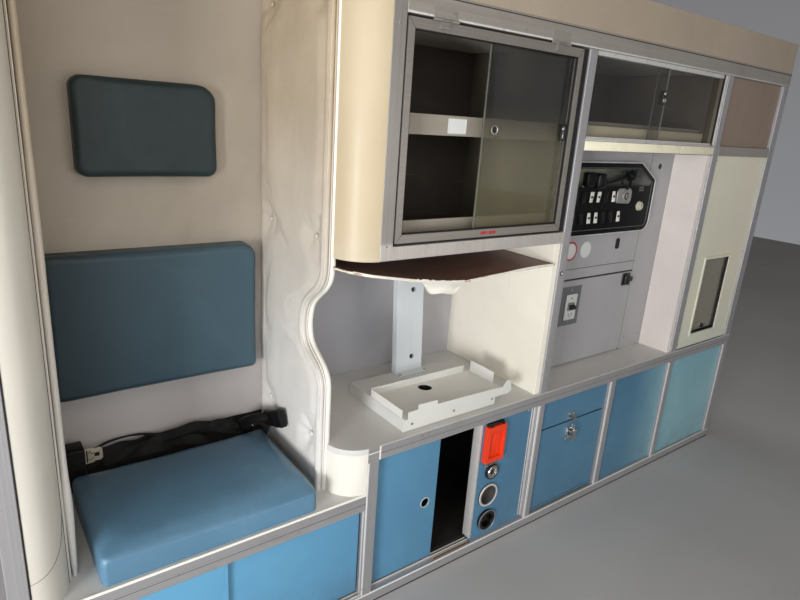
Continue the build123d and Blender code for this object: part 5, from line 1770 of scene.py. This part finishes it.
# bright lip; the bore behind it is painted dark as shade
PORT_RING = toned(extrusion("port_ring", (214, 213, 212), "z", 0.42, 0.40), 1, -0.2335, -0.2305, 1.0, 0.14)
s.emit("ring_port_lip", [PORT_RING, PORT_GREY], slot="chrome")
s = Shape()
s.lathe((1427, 5.0, 107), [(28.0, 1.0), (29.0, -2.4), (33.5, -3.0), (38.0, -1.6), (39.6, 0.6)], 40, 0, cap0=False)
s.lathe((1427, 12.0, 107), [(0.4, 2.0), (5.0, 2.0), (6.0, 6.0), (25.6, 10.0), (25.8, 20.0)], 36, 0)
for k in range(3):
    a = math.radians(30 + 120 * k)
    mv = Matrix.Translation((1427, 0, 107)) @ Matrix.Rotation(a, 4, "Y")
    v, f = rbox(4, 25, 15, 19, -2.6, 2.6, 1.0, 1)
    s.add(v, f, 0, mv)
s.lathe((1427, 3.0, 107), [(38.2, -0.2), (39.4, -1.4), (41.2, -0.8), (41.6, 1.2)], 40, 1, cap0=False)
s.emit("dark_port_parts", [BLACK, STEEL], slot="black_plastic")

# toggle latch of the drop door: base, lever, wire bail and keeper
s = Shape()
s.prism(rrect(1823, 1867, 318, 372, 4, 3), 9.0, 12.0, 0, 0.8)
s.box(1828, 1833, -7, 11, 326, 364, 0, 1.2)
s.box(1857, 1862, -7, 11, 326, 364, 0, 1.2)
lever = [(1834, -9), (1856, -9)]
rings = []
for z, y, w in ((314, -9.0, 7), (318, -12.4, 10), (330, -14.6, 10.6), (348, -16.0, 10.4), (362, -18.4, 10.6), (370, -19.4, 9.6), (374, -17.4, 7.0)):
    rings.append([(1845 - w, y, z), (1845 - w * 0.6, y - 0.6, z), (1845 + w * 0.6, y - 0.6, z), (1845 + w, y, z), (1845 + w, y + 2.4, z), (1845 - w, y + 2.4, z)])
s.loft(rings)
s.lathe((1828, -2, 352), [(4.4, 0.0), (5.0, 0.6), (5.0, 33.4), (4.4, 34.0)], 16, 0, axis="x")
s.lathe((1826, 2, 334), [(2.6, 0.0), (3.2, 0.6), (3.2, 37.4), (2.6, 38.0)], 14, 0, axis="x")
s.tube(catmull([(1839, -2, 352), (1838, -5, 366), (1837, -5, 384), (1839, -4, 390), (1845, -3.6, 391), (1851, -4, 390), (1853, -5, 384), (1852, -5, 366), (1851, -2, 352)], 5), 1.7, 8)
for x, z in ((1830, 322.5), (1860, 322.5), (1830, 368.0), (1860, 368.0)):
    s.lathe((x, 9.0, z), [(0.4, -1.3), (2.2, -1.2), (3.0, 0.1)], 12, 1)
o = s.emit("toggle_latch", [CHROME, STEEL], "drop_door", slot="chrome")
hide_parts("draw_latch")
s = Shape()
s.prism(rrect(1826, 1864, 404, 436, 4, 3), 9.4, 12.0, 0, 0.8)
rings = []
for y, z0, z1 in ((10, 408, 414), (2, 408, 414), (-4, 407.5, 413.5), (-7.4, 409, 414), (-7.0, 414, 418), (-5.2, 417, 419)):
    rings.append([(1835, y, z0), (1855, y, z0), (1855, y + 0.6, z1), (1835, y + 0.6, z1)])
s.loft(rings)
for x in (1832, 1858):
    s.lathe((x, 9.4, 428), [(0.4, -1.3), (2.4, -1.2), (3.2, 0.1)], 12, 1)
o = s.emit("toggle_keeper", [CHROME, STEEL], slot="chrome")
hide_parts("latch_keeper")

# end bay: gasket of the flap opening and a lip on its rim
s = Shape()
s.ring(rrect(2641.0, 2851.0, 628.0, 975.0, 2, 2), rrect(2644.0, 2848.0, 631.5, 972.0, 2, 2), 9.5, 20.0, 0, 0.6)
s.emit("flap_gasket", [RUBBER], slot="black_plastic")
s = Shape()
s.lathe((2753, 12.0, 650), [(0.4, -1.6), (4.6, -1.4), (7.6, 0.4), (8.9, 3.0), (8.9, 10.0)], 22, 0)
s.lathe((2753, 24.0, 650), [(9.0, -1.0), (11.0, -1.4), (12.0, 0.1)], 22, 1, cap0=False)
o = s.emit("flap_pull", [BLACK, STEEL], "flap", slot="black_plastic")
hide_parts("flap_knob")

# rubber rings round the bracket holes, and dark fills in the tray hole and bracket holes that are painted shade making
# the holes read dark
s = Shape()
s.lathe((1229, 181, 567.4), [(0.4, 0.8), (24.2, 0.6), (24.6, 38.0), (22.4, 38.2), (21.8, 2.0), (0.4, 1.8)], 32, 0, axis="z")
for x, y, z in ((1276.0, 326.4, 660.8), (1276.0, 343.7, 908.2)):
    mv = Matrix.Translation((x, y, z)) @ Matrix.Rotation(math.radians(-4), 4, "X")
    s.lathe((0, 0, 0), [(7.2, 0.6), (7.4, -0.9), (9.2, -1.2), (9.8, 0.2), (9.8, 0.6)], 22, 0, cap0=False, move=mv)
    s.lathe((0, 0, 0), [(0.4, 1.8), (6.9, 1.8), (6.9, 5.0)], 22, 0, move=mv)
s.emit("hole_shade_plugs", [RUBBER], slot="black_plastic")

# foot bolts of the upright bracket
s = Shape()
for x in (1211, 1320):
    s.lathe((x, 300, 609.4), [(0.4, 5.4), (3.4, 5.4), (4.8, 4.0), (4.8, 1.2), (6.4, 1.0), (6.6, 0.0)], 14, 0, axis="z")
s.emit("bracket_bolts", [STEEL], slot="steel")

# ======================================================================
# floor, light and camera
# ======================================================================
floor_t = Tree("pale_floor")
fc = floor_t.mix(floor_t.ranged(floor_t.noise(1.3, 3.0, 0.5, 0.3), 0.3, 0.7), srgb(176, 177, 178), srgb(184, 185, 186))
fb = floor_t.bump(floor_t.noise(220.0, 2.0, 0.5), 0.08, 0.0008)
floor_m = floor_t.finish(fc, floor_t.mixf(floor_t.noise(5.0, 3.0, 0.5), 0.55, 0.7), fb)
me = bpy.data.meshes.new("floor")
R = 9.0
me.from_pydata([(-R, -R, 0), (R, -R, 0), (R, R, 0), (-R, R, 0)], [], [[0, 1, 2, 3]])
me.materials.append(floor_m)
floor = bpy.data.objects.new("floor", me)
COLL.objects.link(floor)

world = bpy.data.worlds.new("studio")
world.use_nodes = True
wt = world.node_tree
bg = wt.nodes["Background"]
tc = wt.nodes.new("ShaderNodeTexCoord")
sp = wt.nodes.new("ShaderNodeSeparateXYZ")
wt.links.new(tc.outputs["Generated"], sp.inputs[0])
ramp = wt.nodes.new("ShaderNodeValToRGB")
ramp.color_ramp.elements[0].position = 0.42
ramp.color_ramp.elements[0].color = (0.50, 0.51, 0.54, 1.0)
ramp.color_ramp.elements[1].position = 0.95
ramp.color_ramp.elements[1].color = (0.15, 0.13, 0.11, 1.0)
mr = wt.nodes.new("ShaderNodeMapRange")
mr.inputs["From Min"].default_value = -1.0
wt.links.new(sp.outputs[2], mr.inputs["Value"])
wt.links.new(mr.outputs[0], ramp.inputs[0])
wt.links.new(ramp.outputs[0], bg.inputs[0])
bg.inputs[1].default_value = 0.50
SCENE.world = world


def area(name, at, look, size, power, color=(1, 1, 1)):
    l = bpy.data.lights.new(name, "AREA")
    l.shape = "RECTANGLE"
    l.size, l.size_y = size
    l.energy = power
    l.color = color
    o = bpy.data.objects.new(name, l)
    COLL.objects.link(o)
    o.location = P(*at)
    d = P(*look) - P(*at)
    o.rotation_mode = "QUATERNION"
    o.rotation_quaternion = d.to_track_quat("-Z", "Y")
    return o


area("key", (-2300, -1800, 950), (1200, 200, 750), (1.0, 1.0), 113, (1.0, 0.995, 0.985))
area("fill", (-1000, -3400, 2000), (1500, 200, 650), (1.8, 1.3), 39, (0.98, 0.99, 1.0))
area("top", (500, -1700, 3000), (700, 100, 1350), (2.2, 1.0), 13, (1.0, 0.86, 0.68))
area("side", (2900, -3000, 900), (1200, 100, 800), (1.6, 1.1), 12, (1.0, 0.98, 0.94))
area("column", (1050, -1500, 1250), (40, 120, 1050), (0.9, 0.9), 3.5, (1.0, 0.97, 0.92))
area("back", (1500, 4300, 2500), (1500, 500, 900), (2.4, 1.6), 55, (0.99, 0.99, 1.0))

cam_data = bpy.data.cameras.new("camera")
cam_data.lens = 27.0
cam_data.sensor_width = 36.0
cam_data.sensor_fit = "HORIZONTAL"
cam_data.clip_start = 0.05
cam_data.clip_end = 60.0
cam = bpy.data.objects.new("camera", cam_data)
COLL.objects.link(cam)
cam.matrix_world = Matrix(((0.8043, 0.1221, -0.5816, -1.5115), (-0.5906, 0.2725, -0.7596, -1.4920),
                           (0.0657, 0.9544, 0.2913, 1.4875), (0, 0, 0, 1)))
SCENE.camera = cam
SCENE.view_settings.view_transform = "Standard"
SCENE.view_settings.look = "None"
SCENE.view_settings.exposure = 0.0
